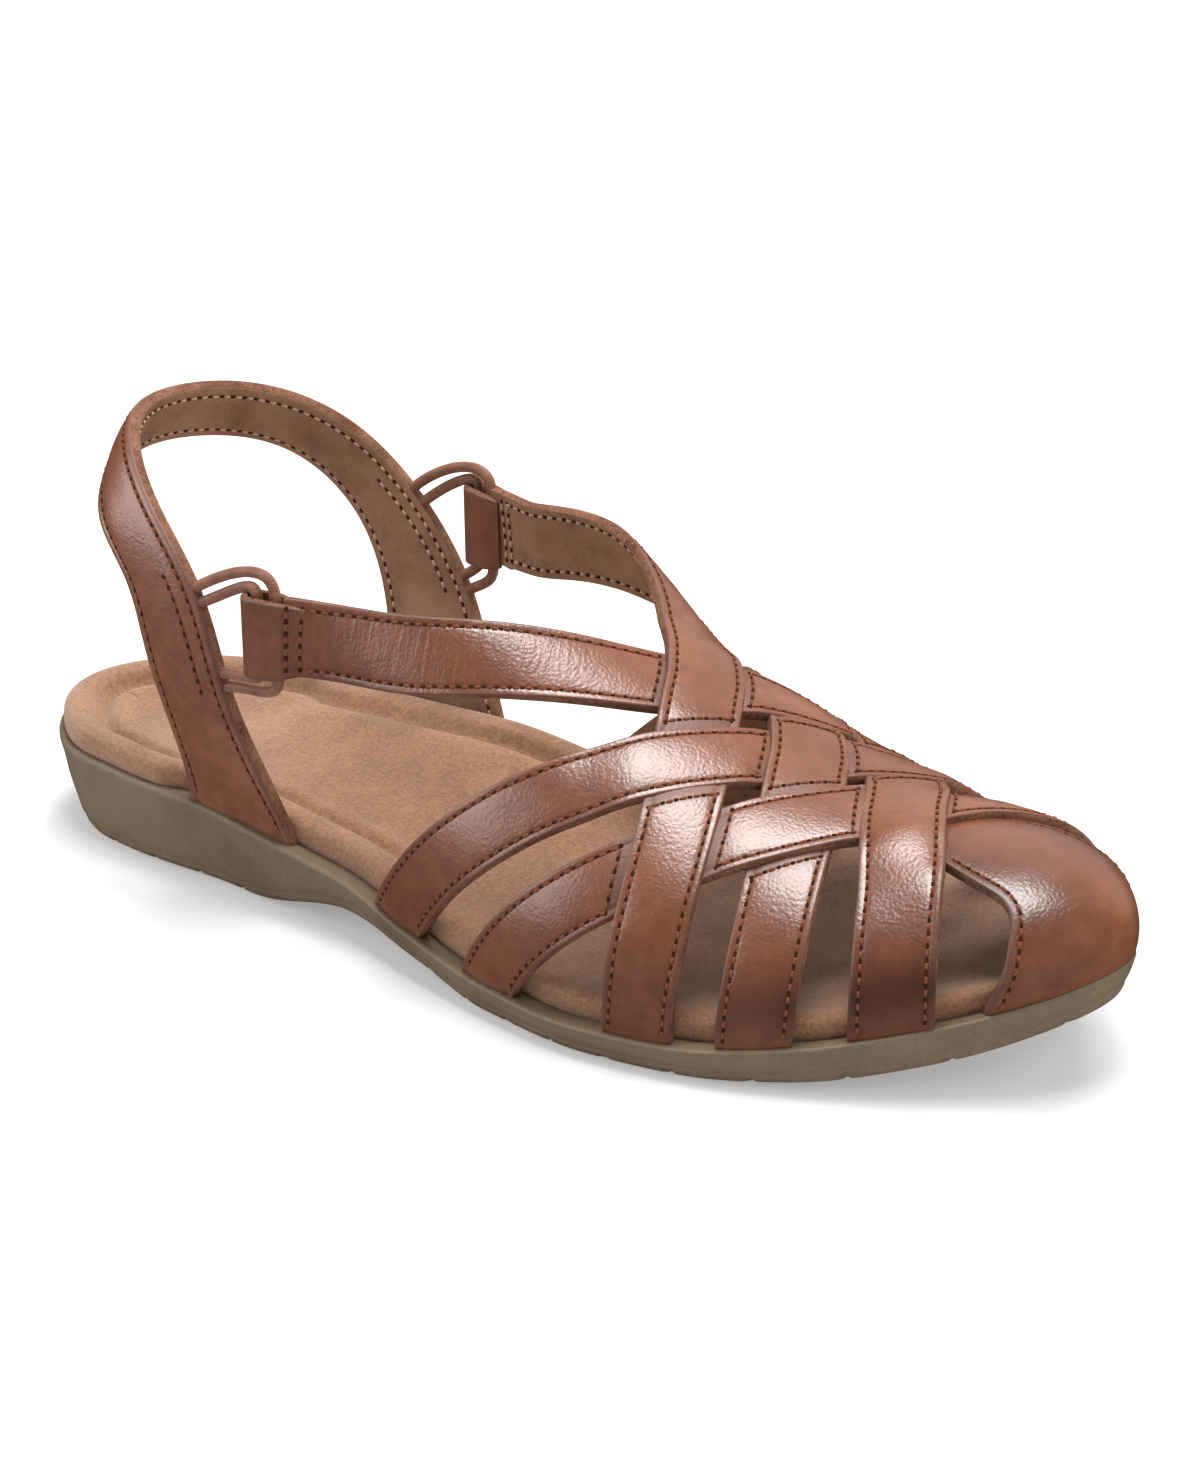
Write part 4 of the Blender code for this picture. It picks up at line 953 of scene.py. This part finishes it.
tunnels = {}
for word in ("lateral", "medial"):
    strap = straps["ankle_" + word]
    start = strap.centre[0] + strap.normal[0, len(LANES)] * WALL / 2
    along = unit((strap.centre[FOLD_AIM] - strap.centre[0]) * (1, 1, 0))
    up = np.array([0.0, 0.0, 1.0])
    out = np.cross(along, up)
    out = out * np.sign(out[1] * strap.centre[0, 1])
    tunnels[word] = (start, along, up, out)
    closing = np.linspace(0, 1, FOLD_STEPS // 3)
    arc = np.linspace(math.pi / 2, 3 * math.pi / 2, FOLD_STEPS // 3 + 2)[1:-1]
    leaf = FOLD_TAIL * (1 - closing)
    back = FOLD_INNER * closing
    path_along = np.r_[leaf, FOLD_RADIUS * np.cos(arc), back]
    path_out = np.r_[fold_height(leaf), FOLD_RADIUS * np.sin(arc), -fold_height(back)]
    path = start + path_along[:, None] * along + path_out[:, None] * out
    normal = np.cross(up, way_along(path))
    normal = normal * np.sign((normal[0] * out).sum())
    half = STRAP_HALF + FOLD_FLARE * fade(path_along, -FOLD_RADIUS, FOLD_TAIL)
    half = half - FOLD_TAPER * (1 - fade(path_along, FOLD_SHOULDER, FOLD_TAIL - FOLD_SHOULDER))
    rise = (STRAP_ACROSS * half[:, None] / STRAP_HALF)[..., None] * up
    skin = FOLD_LEAF / 2 - edge_rounding(STRAP_INSIDE)
    outer = path[:, None] + rise + normal[:, None] * skin[:, None]
    inner = path[:, None] + rise - normal[:, None] * FOLD_LEAF / 2
    run = walked_length(path)[:, None]
    rim = bell(STRAP_INSIDE, FOLD_RIM)
    fields = {"rim": rim, "burnish_and_shade": 0.0, "run": run, "aside": STRAP_ACROSS, "crease": FOLD_WRINKLE}
    band("fold_" + word, outer, inner, UPPER_MATERIALS, fields)


# Heel strap
# A padded sling of the same leather, lined in taupe, that runs from under the footbed round the heel.
# Seams run along both edges, and a second short seam on each front edge holds the elastics.
HEEL_STEPS = 320
HEEL_EDGE = 2.4
HEEL_PAD = 4.4
HEEL_PAD_POWER = 0.6
HEEL_PAD_INSIDE = 0.42
HEEL_PAD_FROM = 1.0
HEEL_PAD_RUN = 14.0
HEEL_REAR_FORWARD = 0.6
HEEL_CENTRE = (60.0, 0.0, 60.0)
HEEL_SEAM = 2.3
HEEL_DENT = 0.3
HEEL_DENT_HALF = 0.6
HEEL_DENT_INSIDE = 0.6
HEEL_RIM = 0.7
HEEL_WRINKLE = 0.06
# Painted sheen: the sling's leather is a lighter copy of the upper leather, standing in for the floor's
# pale reflection on it
HEEL_SHEEN_DARK = (0.180, 0.057, 0.026)
HEEL_SHEEN_LIGHT = (0.266, 0.094, 0.045)
HEEL_MIDDLE = (0.15, 0.3, 0.5, 0.7, 0.85)
HEEL_STRAP = table(
    "x_front spread_front z_front x_rear spread_rear z_rear forward pinch",
    (86, 29.6, 8, 55, 27.3, 10, 13, 2.2), (83.5, 30.4, 16, 54.5, 27.9, 20, 12, 2.3),
    (75.8, 33.5, 36, 54, 32.0, 36, 11, 1.6), (71.2, 35.5, 51, 51, 34.8, 52, 8, 0.4),
    (65, 35.3, 69, 46, 34.0, 66.5, 1, 0.0), (51.5, 31.0, 82.8, 36, 29.5, 75, 0, 0.0),
    (36, 19.0, 91.5, 27, 17.5, 80, 0, 0.0), (27, 0.0, 93.5, 21.5, 0.0, 81.5, 0, 0.0),
)


def round_heel(x, spread, z, forward, pinch):
    """One edge of the sling: up the lateral side, and down the medial side moved forward and in."""
    there = np.stack([x, -spread, z], -1)
    back = np.stack([x + forward, spread - pinch, z], -1)
    return np.concatenate([there, back[-2::-1]])


rows = HEEL_STRAP
heel_front = round_heel(rows.x_front, rows.spread_front, rows.z_front, rows.forward, rows.pinch)
forward = rows.forward * HEEL_REAR_FORWARD
heel_rear = round_heel(rows.x_rear, rows.spread_rear, rows.z_rear, forward, 0.0)
knots = walked_length((heel_front + heel_rear) / 2)
heel_run = np.linspace(0, knots[-1], HEEL_STEPS + 1)
heel_front, heel_rear = (
    np.stack([flowing(knots, edge[:, i], heel_run) for i in range(3)], -1)
    for edge in (heel_front, heel_rear)
)
heel_middle = (heel_front + heel_rear) / 2
heel_normal = unit(np.cross(unit(heel_rear - heel_front), way_along(heel_middle)))
facing = np.sign(np.einsum("ni,ni->n", heel_normal, heel_middle - HEEL_CENTRE))
heel_normal = heel_normal * facing[:, None]
heel_width = np.linalg.norm(heel_rear - heel_front, axis=1)[:, None]


def heel_faces(inside):
    """Outer and inner face of the sling at a distance in from its front edge, and how near an edge is.

    The faces stand off a ruled middle by shares of the pad: a power of half a sine, flat at the sole.
    """
    t = inside / heel_width
    near = np.minimum(inside, heel_width - inside)
    middle = heel_front[:, None] * (1 - t[..., None]) + heel_rear[:, None] * t[..., None]
    stuffed = 1 - fade(middle[..., 2] - sole_edge(middle), HEEL_PAD_FROM, HEEL_PAD_RUN)
    swell = np.sin(math.pi * np.clip(t, 0, 1)) ** HEEL_PAD_POWER
    pad = HEEL_EDGE + (HEEL_PAD - HEEL_EDGE) * swell * stuffed
    dent = HEEL_DENT * bell(near - HEEL_SEAM, HEEL_DENT_HALF)
    skin = (pad * (1 - HEEL_PAD_INSIDE) - edge_rounding(near) - dent)[..., None]
    back = (pad * HEEL_PAD_INSIDE - dent * HEEL_DENT_INSIDE)[..., None]
    normal = heel_normal[:, None]
    return middle + normal * skin, middle - normal * back, near


lanes = np.broadcast_to(LANES, (HEEL_STEPS + 1, len(LANES)))
gap = heel_width - 2 * LANES[-1]
inside = np.concatenate([lanes, LANES[-1] + gap * np.array(HEEL_MIDDLE), heel_width - lanes[:, ::-1]], 1)
outer, inner, near = heel_faces(inside)
# Painted sheen: a lighter copy of the upper leather
heel_leather_with_sheen = waxed_leather("heel_strap_leather", HEEL_SHEEN_DARK, HEEL_SHEEN_LIGHT)
fields = {"rim": bell(near, HEEL_RIM), "burnish_and_shade": 0.0, "crease": HEEL_WRINKLE}
fields |= {"run": heel_run[:, None], "aside": inside}
materials = [heel_leather_with_sheen, cut_edge, lining]
heel_sling = band(
    "heel_sling", into_sole(outer), into_sole(inner), materials, fields, "heel_strap"
)


# Elastic loops
# Two braided brown cords a side, sewn into the sling's front edge: each arches over, drops through
# the ankle strap's fold and runs back below it.
CORD = 2.3
CORD_PITCH = 4.2
CORD_LEAD = 0.5
CORD_ROOT = 2.4
CORD_STEPS = 70
CORD_SIDES = 18
CORD_THROUGH = 12
CORD_ROOT_STEPS = 5
RIB_PITCH = 0.55
RIB_STARTS = 3
LoopRow = namedtuple("LoopRow", "name pull top bottom arch tuck")
LOOPS = (
    LoopRow("outer", CORD_PITCH, 69.6, 49.6, 0.36, 0.36),
    LoopRow("inner", 0.0, 66.8, 52.4, 0.24, 0.18),
)


def read_off(at, run, values):
    """Points of a line read off at places of its run, in straight steps."""
    return np.stack([np.interp(at, run, values[:, i]) for i in range(3)], -1)


def edge_spot(side, height):
    """Point on the sling's front edge at a height, and the way out of that edge."""
    half = HEEL_STEPS // 2
    pick = slice(0, half) if side < 0 else slice(None, half, -1)
    edge = heel_front[pick]
    run = way_along(edge)
    way = edge - heel_rear[pick]
    way = unit(way - run * np.einsum("ni,ni->n", way, run)[:, None])
    return read_off(height, edge[:, 2], edge), unit(read_off(height, edge[:, 2], way))


def bend(first, lead, follow, last):
    """Cubic bend between two points with the handles given."""
    t = np.linspace(0, 1, CORD_STEPS)[:, None]
    start = (1 - t) ** 3 * first + 3 * t * (1 - t) ** 2 * lead
    return start + 3 * t * t * (1 - t) * follow + t**3 * last


def tube(line, radius, aside):
    """Round tube along a line that lies near a plane: circles square to the line, ends drawn to points."""
    heading = way_along(line)
    across = unit(aside - heading * (heading @ aside)[:, None])
    rise = np.cross(heading, across)
    angle = np.linspace(0, 2 * math.pi, CORD_SIDES, endpoint=False)
    size = np.full(len(line), radius)
    size[[0, -1]] = 0.0
    ring = np.cos(angle)[:, None] * across[:, None] + np.sin(angle)[:, None] * rise[:, None]
    return line[:, None] + ring * size[:, None, None], angle


def braid(tree, where):
    """Two sets of spiral ribs crossing on the cord, from the length run and the angle round it."""
    run = weigh(tree, (field(tree, "run"), 2 * math.pi / RIB_PITCH))
    around = field(tree, "around")
    left = two_way(tree, "SINE", two_way(tree, "ADD", run, around), 0.0)
    right = two_way(tree, "SINE", two_way(tree, "SUBTRACT", run, around), 0.0)
    height = two_way(tree, "MAXIMUM", left, right)
    patch = noise(tree, where, 300.0, 3.0)
    tone = two_way(tree, "ADD", weigh(tree, (height, 0.25)), patch)
    return stretch(tree, tone, 0.2, 0.95), height


ELASTIC_DARK = (0.130, 0.048, 0.026)
ELASTIC_LIGHT = (0.270, 0.112, 0.064)
elastic = begin_material(
    "elastic_braid", pattern(braid), ELASTIC_DARK, ELASTIC_LIGHT, 0.06, 0.35,
    {"Roughness": 0.55, "Specular IOR Level": 0.4, "Sheen Weight": 0.1},
)[0]
for word, side in (("lateral", -1), ("medial", 1)):
    start, along, up, out = tunnels[word]
    for loop in LOOPS:
        top, top_way = edge_spot(side, loop.top)
        low, low_way = edge_spot(side, loop.bottom)
        inside = start + along * loop.pull
        above = inside + up * STRAP_HALF
        below = inside - up * STRAP_HALF
        far = np.linalg.norm(above - top)
        near = np.linalg.norm(below - low)
        over = bend(top, top + top_way * far * CORD_LEAD, above + up * far * loop.arch, above)
        under = bend(below, below - up * near * loop.tuck, low + low_way * near * CORD_LEAD, low)
        shares = np.linspace(0, 1, CORD_THROUGH)[1:-1, None]
        through = above * (1 - shares) + below * shares
        buried = CORD_ROOT * (1 - np.linspace(0, 1, CORD_ROOT_STEPS)[:-1, None])
        root = top - top_way * buried
        tail = low - low_way * buried[::-1]
        line = np.concatenate([root, over, through, under, tail])
        points, angle = tube(line, CORD / 2, out)
        run = np.broadcast_to(walked_length(line)[:, None], points.shape[:2])
        fields = {"run": run, "around": np.broadcast_to(angle * RIB_STARTS, run.shape)}
        quads = grid_quads(len(line), CORD_SIDES, wrap=True).tolist()
        name = f"elastic_{word}_{loop.name}"
        cord = make_piece(name + "_cord", points.reshape(-1, 3), quads, [elastic], None, fields)
        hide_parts(name)


# Seams
# Waxed brown thread along every leather edge and cream thread on the linings: raised stitches with
# a needle hole between neighbours, left out where another strap covers them.
# Each needle hole is a dark sunk spindle, painted shade inside the hole.
STITCH_PITCH = 2.5
STITCH_SHARE = 0.66
STITCH_RADIUS = 0.31
STITCH_ARCH = 0.12
STITCH_SINK = 0.12
STITCH_RINGS = 7
STITCH_SIDES = 7
CROSS_INSET = 1.3
CROSS_MARGIN = 1.5
CAP_SEAM_STEPS = 400
FOLD_SEAMS = (6.8, 9.5)
FOLD_LINING_SEAMS = (9.5, 11.6)
HOLE_LENGTH = 1.15
HOLE_RADIUS = 0.47
HOLE_ARCH = -0.2
SEAM_SHOWN = 0.9
SEAM_START = 5.0
SEAM_CLEAR = 0.9
SEAM_ABOVE = 1.0
CROSS_ABOVE = 2.0
LINING_SEAM_END = 75.0
FOLD_SEAM_MARGIN = 1.4
HEEL_SEAM_ABOVE = 2.0
HEEL_LINING_ABOVE = 6.0
HOLDER_INSET = 3.4
HOLDER_FROM = 47.5
HOLDER_TO = 72.5


def beads(places, ways, normals, length, radius, arch):
    """One spindle for each place: circles along its way, the line arched up, the ends drawn to points."""
    u = np.linspace(-1, 1, STITCH_RINGS)
    angle = np.linspace(0, 2 * math.pi, STITCH_SIDES, endpoint=False)
    aside = unit(np.cross(normals, ways))
    line = places[:, None] + ways[:, None] * (u * length / 2)[:, None]
    line = line + normals[:, None] * (arch * (1 - u**2) - STITCH_SINK * u**4)[:, None]
    size = radius * np.sqrt(1 - u**4)
    ring = np.cos(angle)[:, None] * aside[:, None] + np.sin(angle)[:, None] * normals[:, None]
    return line[:, :, None] + ring[:, None] * size[:, None, None]


def bead_piece(name, groups, material, node, slot):
    """All spindles of one thread as one piece."""
    points = np.concatenate(groups)
    quads = grid_quads(STITCH_RINGS, STITCH_SIDES, wrap=True)
    size = STITCH_RINGS * STITCH_SIDES
    quads = (quads[None] + np.arange(len(points))[:, None, None] * size).reshape(-1, 4)
    made = make_piece(name, points.reshape(-1, 3), quads.tolist(), [material])
    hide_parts(node)
    return made


Seam = namedtuple("Seam", "stitches holes")


def sew(line, normals, keep=True):
    """Stitches at an even pitch along a line where keep holds, with a needle hole between neighbours as a
    dark spindle of painted shade.
    """
    run = walked_length(line)
    count = max(2, int(run[-1] / STITCH_PITCH))
    pitch = run[-1] / count
    ways = unit(np.gradient(line, run, axis=0))
    shown = np.broadcast_to(keep, len(line)).astype(float)

    def spindles(at, length, radius, arch):
        """Spindles at places of the run, without those that keep leaves out."""
        spots, along, up = (read_off(at, run, values) for values in (line, ways, normals))
        made = beads(spots, unit(along), unit(up), length, radius, arch)
        return made[np.interp(at, run, shown) > SEAM_SHOWN]

    middles = (np.arange(count) + 0.5) * pitch
    ends = np.arange(count + 1) * pitch
    stitches = spindles(middles, pitch * STITCH_SHARE, STITCH_RADIUS, STITCH_ARCH)
    return Seam(stitches, spindles(ends, HOLE_LENGTH, HOLE_RADIUS, HOLE_ARCH))


def thread_twist(tree, where):
    """Fine fibres of a waxed thread."""
    fibre = noise(tree, where, 3000.0, 3.0)
    return stretch(tree, fibre, 0.3, 0.7), fibre


THREAD_DARK = (0.135, 0.041, 0.017)
THREAD_LIGHT = (0.230, 0.078, 0.036)
CREAM_DARK = (0.330, 0.215, 0.130)
CREAM_LIGHT = (0.520, 0.370, 0.250)
# Needle holes: dark sunk spindles, painted shade inside each hole
HOLE_SHADOW_DARK = (0.030, 0.009, 0.004)
HOLE_SHADOW_LIGHT = (0.066, 0.021, 0.010)
twist = pattern(thread_twist)
WAXED = {"Roughness": 0.7, "Specular IOR Level": 0.25}
UNLIT = {"Roughness": 0.95, "Specular IOR Level": 0.05}
brown_thread = begin_material("brown_thread", twist, THREAD_DARK, THREAD_LIGHT, 0.05, 0.4, WAXED)[0]
cream_thread = begin_material("cream_thread", twist, CREAM_DARK, CREAM_LIGHT, 0.05, 0.4, WAXED)[0]
hole_shadow = begin_material("hole_shadow", twist, HOLE_SHADOW_DARK, HOLE_SHADOW_LIGHT, 0.05, 0.4, UNLIT)[0]


def above_sole(points, margin):
    """Whether each point is above the sole's edge by a margin."""
    return points[..., 2] > sole_edge(points) + margin


def clear_of(points, overs, margin):
    """Whether each point lies outside all the straps named, by a margin."""
    return np.all([near_line(points, straps[over].centre) > STRAP_HALF + margin for over in overs], axis=0)


def crossing_lines(strap, over, lanes):
    """Lines on a strap just outside both edges of a strap that covers it, a point for each lane."""
    gap = near_line(strap.base, over.centre)[:, lanes] - STRAP_HALF - CROSS_INSET
    column = np.arange(gap.shape[1])
    for order in (1, -1):
        row = np.argmax(gap[::order] < 0, axis=0)
        row = row if order > 0 else len(gap) - 1 - row
        before = np.clip(row - order, 0, len(gap) - 1)
        t = gap[before, column] / (gap[before, column] - gap[row, column] + 1e-9)
        yield row, before, np.clip(t, 0, 1)[:, None]


upper_seams = []
lining_seams = []
crossing_seams = []
for strap_name, strap in straps.items():
    face, under = strap_faces(strap_name)
    overs = covers(strap_name)
    ankle = strap_name.startswith("ankle")
    begun = strap.run > (FOLD_COVER + SEAM_START if ankle else 0)
    for lane in np.flatnonzero(np.isclose(STRAP_INSIDE, SEAM_INSET)):
        keep = above_sole(face[:, lane], SEAM_ABOVE) & begun
        keep &= clear_of(strap.base[:, lane], overs, SEAM_CLEAR)
        upper_seams.append(sew(face[:, lane], strap.normal[:, lane], keep))
        if ankle:
            keep = begun & (strap.run < LINING_SEAM_END)
            lining_seams.append(sew(under[:, lane], -strap.normal[:, lane], keep))
    lanes = np.flatnonzero(STRAP_INSIDE >= CROSS_MARGIN)
    for over in overs:
        for row, before, t in crossing_lines(strap, straps[over], lanes):
            line = face[before, lanes] * (1 - t) + face[row, lanes] * t
            keep = near_line(line, straps[over].centre) < STRAP_HALF + 2 * CROSS_INSET
            keep &= above_sole(line, CROSS_ABOVE) & clear_of(strap.base[row, lanes], overs, 0.0)
            crossing_seams.append(sew(line, strap.normal[row, lanes], keep))
upper_seams += crossing_seams

seam_turn = np.linspace(TOE_CAP.turn[0], TOE_CAP.turn[-1], CAP_SEAM_STEPS)
seam_x = np.interp(seam_turn, cap_turn[:, 0], cap_x[:, 0])
seam_way = way_along(last_point(seam_x, seam_turn))
seam_points, seam_normals = walk(seam_x, seam_turn, seam_way, [-SEAM_INSET, SEAM_INSET])
ahead = int(seam_points[CAP_SEAM_STEPS // 2, 1, 0] > seam_points[CAP_SEAM_STEPS // 2, 0, 0])
line = seam_points[:, ahead] + seam_normals[:, ahead] * (WALL - DENT_DEPTH)
keep = above_sole(line, SEAM_ABOVE) & clear_of(seam_points[:, ahead], STRAPS_OVER_CAP, SEAM_CLEAR)
upper_seams.append(sew(line, seam_normals[:, ahead], keep))

sewn = STRAP_INSIDE >= FOLD_SEAM_MARGIN
for word in tunnels:
    strap = straps["ankle_" + word]
    for run in FOLD_SEAMS:
        row = int(np.argmin(np.abs(strap.run - run)))
        rise = WALL / 2 + fold_height(run) + FOLD_LEAF / 2
        rise = np.maximum(leather_top(STRAP_INSIDE, STRAP_HALF), rise)
        face = strap.base[row] + strap.normal[row] * rise[:, None]
        upper_seams.append(sew(face[sewn], strap.normal[row][sewn]))
    for run in FOLD_LINING_SEAMS:
        row = int(np.argmin(np.abs(strap.run - run)))
        lining_seams.append(sew(strap.base[row][sewn], -strap.normal[row][sewn]))

heel_seams = []
heel_lining_seams = []
holder = (heel_front[:, 2] > HOLDER_FROM) & (heel_front[:, 2] < HOLDER_TO)
front = np.full_like(heel_width, HEEL_SEAM)
for inside, where in ((front, True), (heel_width - HEEL_SEAM, True), (front + HOLDER_INSET, holder)):
    skin, back, _ = heel_faces(inside)
    keep = above_sole(skin[:, 0], HEEL_SEAM_ABOVE) & where
    heel_seams.append(sew(skin[:, 0], heel_normal, keep))
    keep = above_sole(back[:, 0], HEEL_LINING_ABOVE) & where
    heel_lining_seams.append(sew(back[:, 0], -heel_normal, keep))

for word, node, slot, faces, backs in (
    ("upper", "upper", "upper_leather", upper_seams, lining_seams),
    ("heel", "heel_strap", "heel_strap_leather", heel_seams, heel_lining_seams),
):
    bead_piece(word + "_seams", [s.stitches for s in faces], brown_thread, node, slot)
    bead_piece(word + "_lining_seams", [s.stitches for s in backs], cream_thread, node, slot)
    # Dark spindles in the needle holes: painted shade
    bead_piece(word + "_needle_holes", [s.holes for s in faces + backs], hole_shadow, node, slot)


# Floor, light and camera
# A plain white sweep under soft studio light: a softbox overhead and one high behind the shoe, a wide
# pale one low behind it, and two fills, one on the heel's side and one at the toe.
FLOOR_HALF = 6.0
FLOOR_DARK = (0.54, 0.54, 0.54)
FLOOR_LIGHT = (0.57, 0.57, 0.57)
FLOOR_GLOW = 0.30
WORLD_GLOW = 0.3
SENSOR = 36.0
LENS = 111.3
LENS_SHIFT = (0.0236, 0.0322)


def paper(tree, where):
    """Barely uneven white paper."""
    cloud = noise(tree, where, 6.0, 3.0)
    return cloud, cloud


white = begin_material(
    "white_sweep", pattern(paper), FLOOR_DARK, FLOOR_LIGHT, 0.05, 0.02,
    {"Roughness": 0.9, "Emission Color": (1.0, 1.0, 1.0, 1.0), "Emission Strength": FLOOR_GLOW},
)[0]
mesh = bpy.data.meshes.new("floor")
corners = [(-1, -1), (1, -1), (1, 1), (-1, 1)]
mesh.from_pydata([(a * FLOOR_HALF, b * FLOOR_HALF, 0.0) for a, b in corners], [], [(0, 1, 2, 3)])
mesh.materials.append(white)
floor = new_object("floor", mesh)
floor.visible_glossy = False


def aim(made, place, target, roll=0.0):
    """Stand an object at a place so that its own minus z looks at the target, turned by roll."""
    back = unit(np.array(place, float) - np.array(target, float))
    right = unit(np.cross((0.0, 0.0, 1.0), back)) if abs(back[2]) < 0.999 else np.array([1.0, 0.0, 0.0])
    rise = np.cross(back, right)
    turned_right = math.cos(roll) * right - math.sin(roll) * rise
    turned_rise = math.sin(roll) * right + math.cos(roll) * rise
    columns = np.stack([turned_right, turned_rise, back, place], 1)
    made.matrix_world = Matrix(columns.tolist() + [[0, 0, 0, 1]])


LightRow = namedtuple("LightRow", "name place target width height power glossy")
LIGHTS = (
    LightRow("overhead", (0.02, 0.06, 1.05), (0.0, 0.0, 0.0), 0.58, 0.5, 11.0, True),
    LightRow("rear_top", (-0.15, 0.80, 0.85), (0.0, 0.0, 0.0), 0.7, 0.5, 11.0, False),
    LightRow("behind", (-0.20, 1.45, 0.65), (-0.1, 0.0, 0.10), 2.6, 1.3, 6.0, True),
    LightRow("heel_side", (-1.15, -0.75, 0.65), (-0.08, 0.0, 0.05), 1.5, 1.2, 13.0, True),
    LightRow("toe_fill", (1.05, 0.10, 0.50), (0.10, 0.0, 0.02), 1.2, 0.9, 8.0, False),
)
for row in LIGHTS:
    light = bpy.data.lights.new(row.name, "AREA")
    light.shape = "RECTANGLE"
    light.size = row.width
    light.size_y = row.height
    light.energy = row.power
    lamp = new_object(row.name, light)
    aim(lamp, row.place, row.target)
    lamp.visible_camera = False
    lamp.visible_glossy = row.glossy

world = bpy.data.worlds.new("studio")
bpy.context.scene.world = world
world.use_nodes = True
sky = world.node_tree.nodes["Background"]
sky.inputs["Color"].default_value = (1.0, 1.0, 1.0, 1.0)
sky.inputs["Strength"].default_value = WORLD_GLOW
world.cycles_visibility.glossy = False
bpy.context.scene.view_settings.view_transform = "Standard"

CAMERA_PLACE = (0.4990, -0.6766, 0.3983)
CAMERA_TARGET = (0.0, 0.00277, 0.030)
CAMERA_ROLL = math.radians(1.1)
camera = bpy.data.cameras.new("camera")
camera.sensor_width = SENSOR
camera.lens = LENS
camera.shift_x, camera.shift_y = LENS_SHIFT
eye = new_object("camera", camera)
aim(eye, CAMERA_PLACE, CAMERA_TARGET, CAMERA_ROLL)
bpy.context.scene.camera = eye
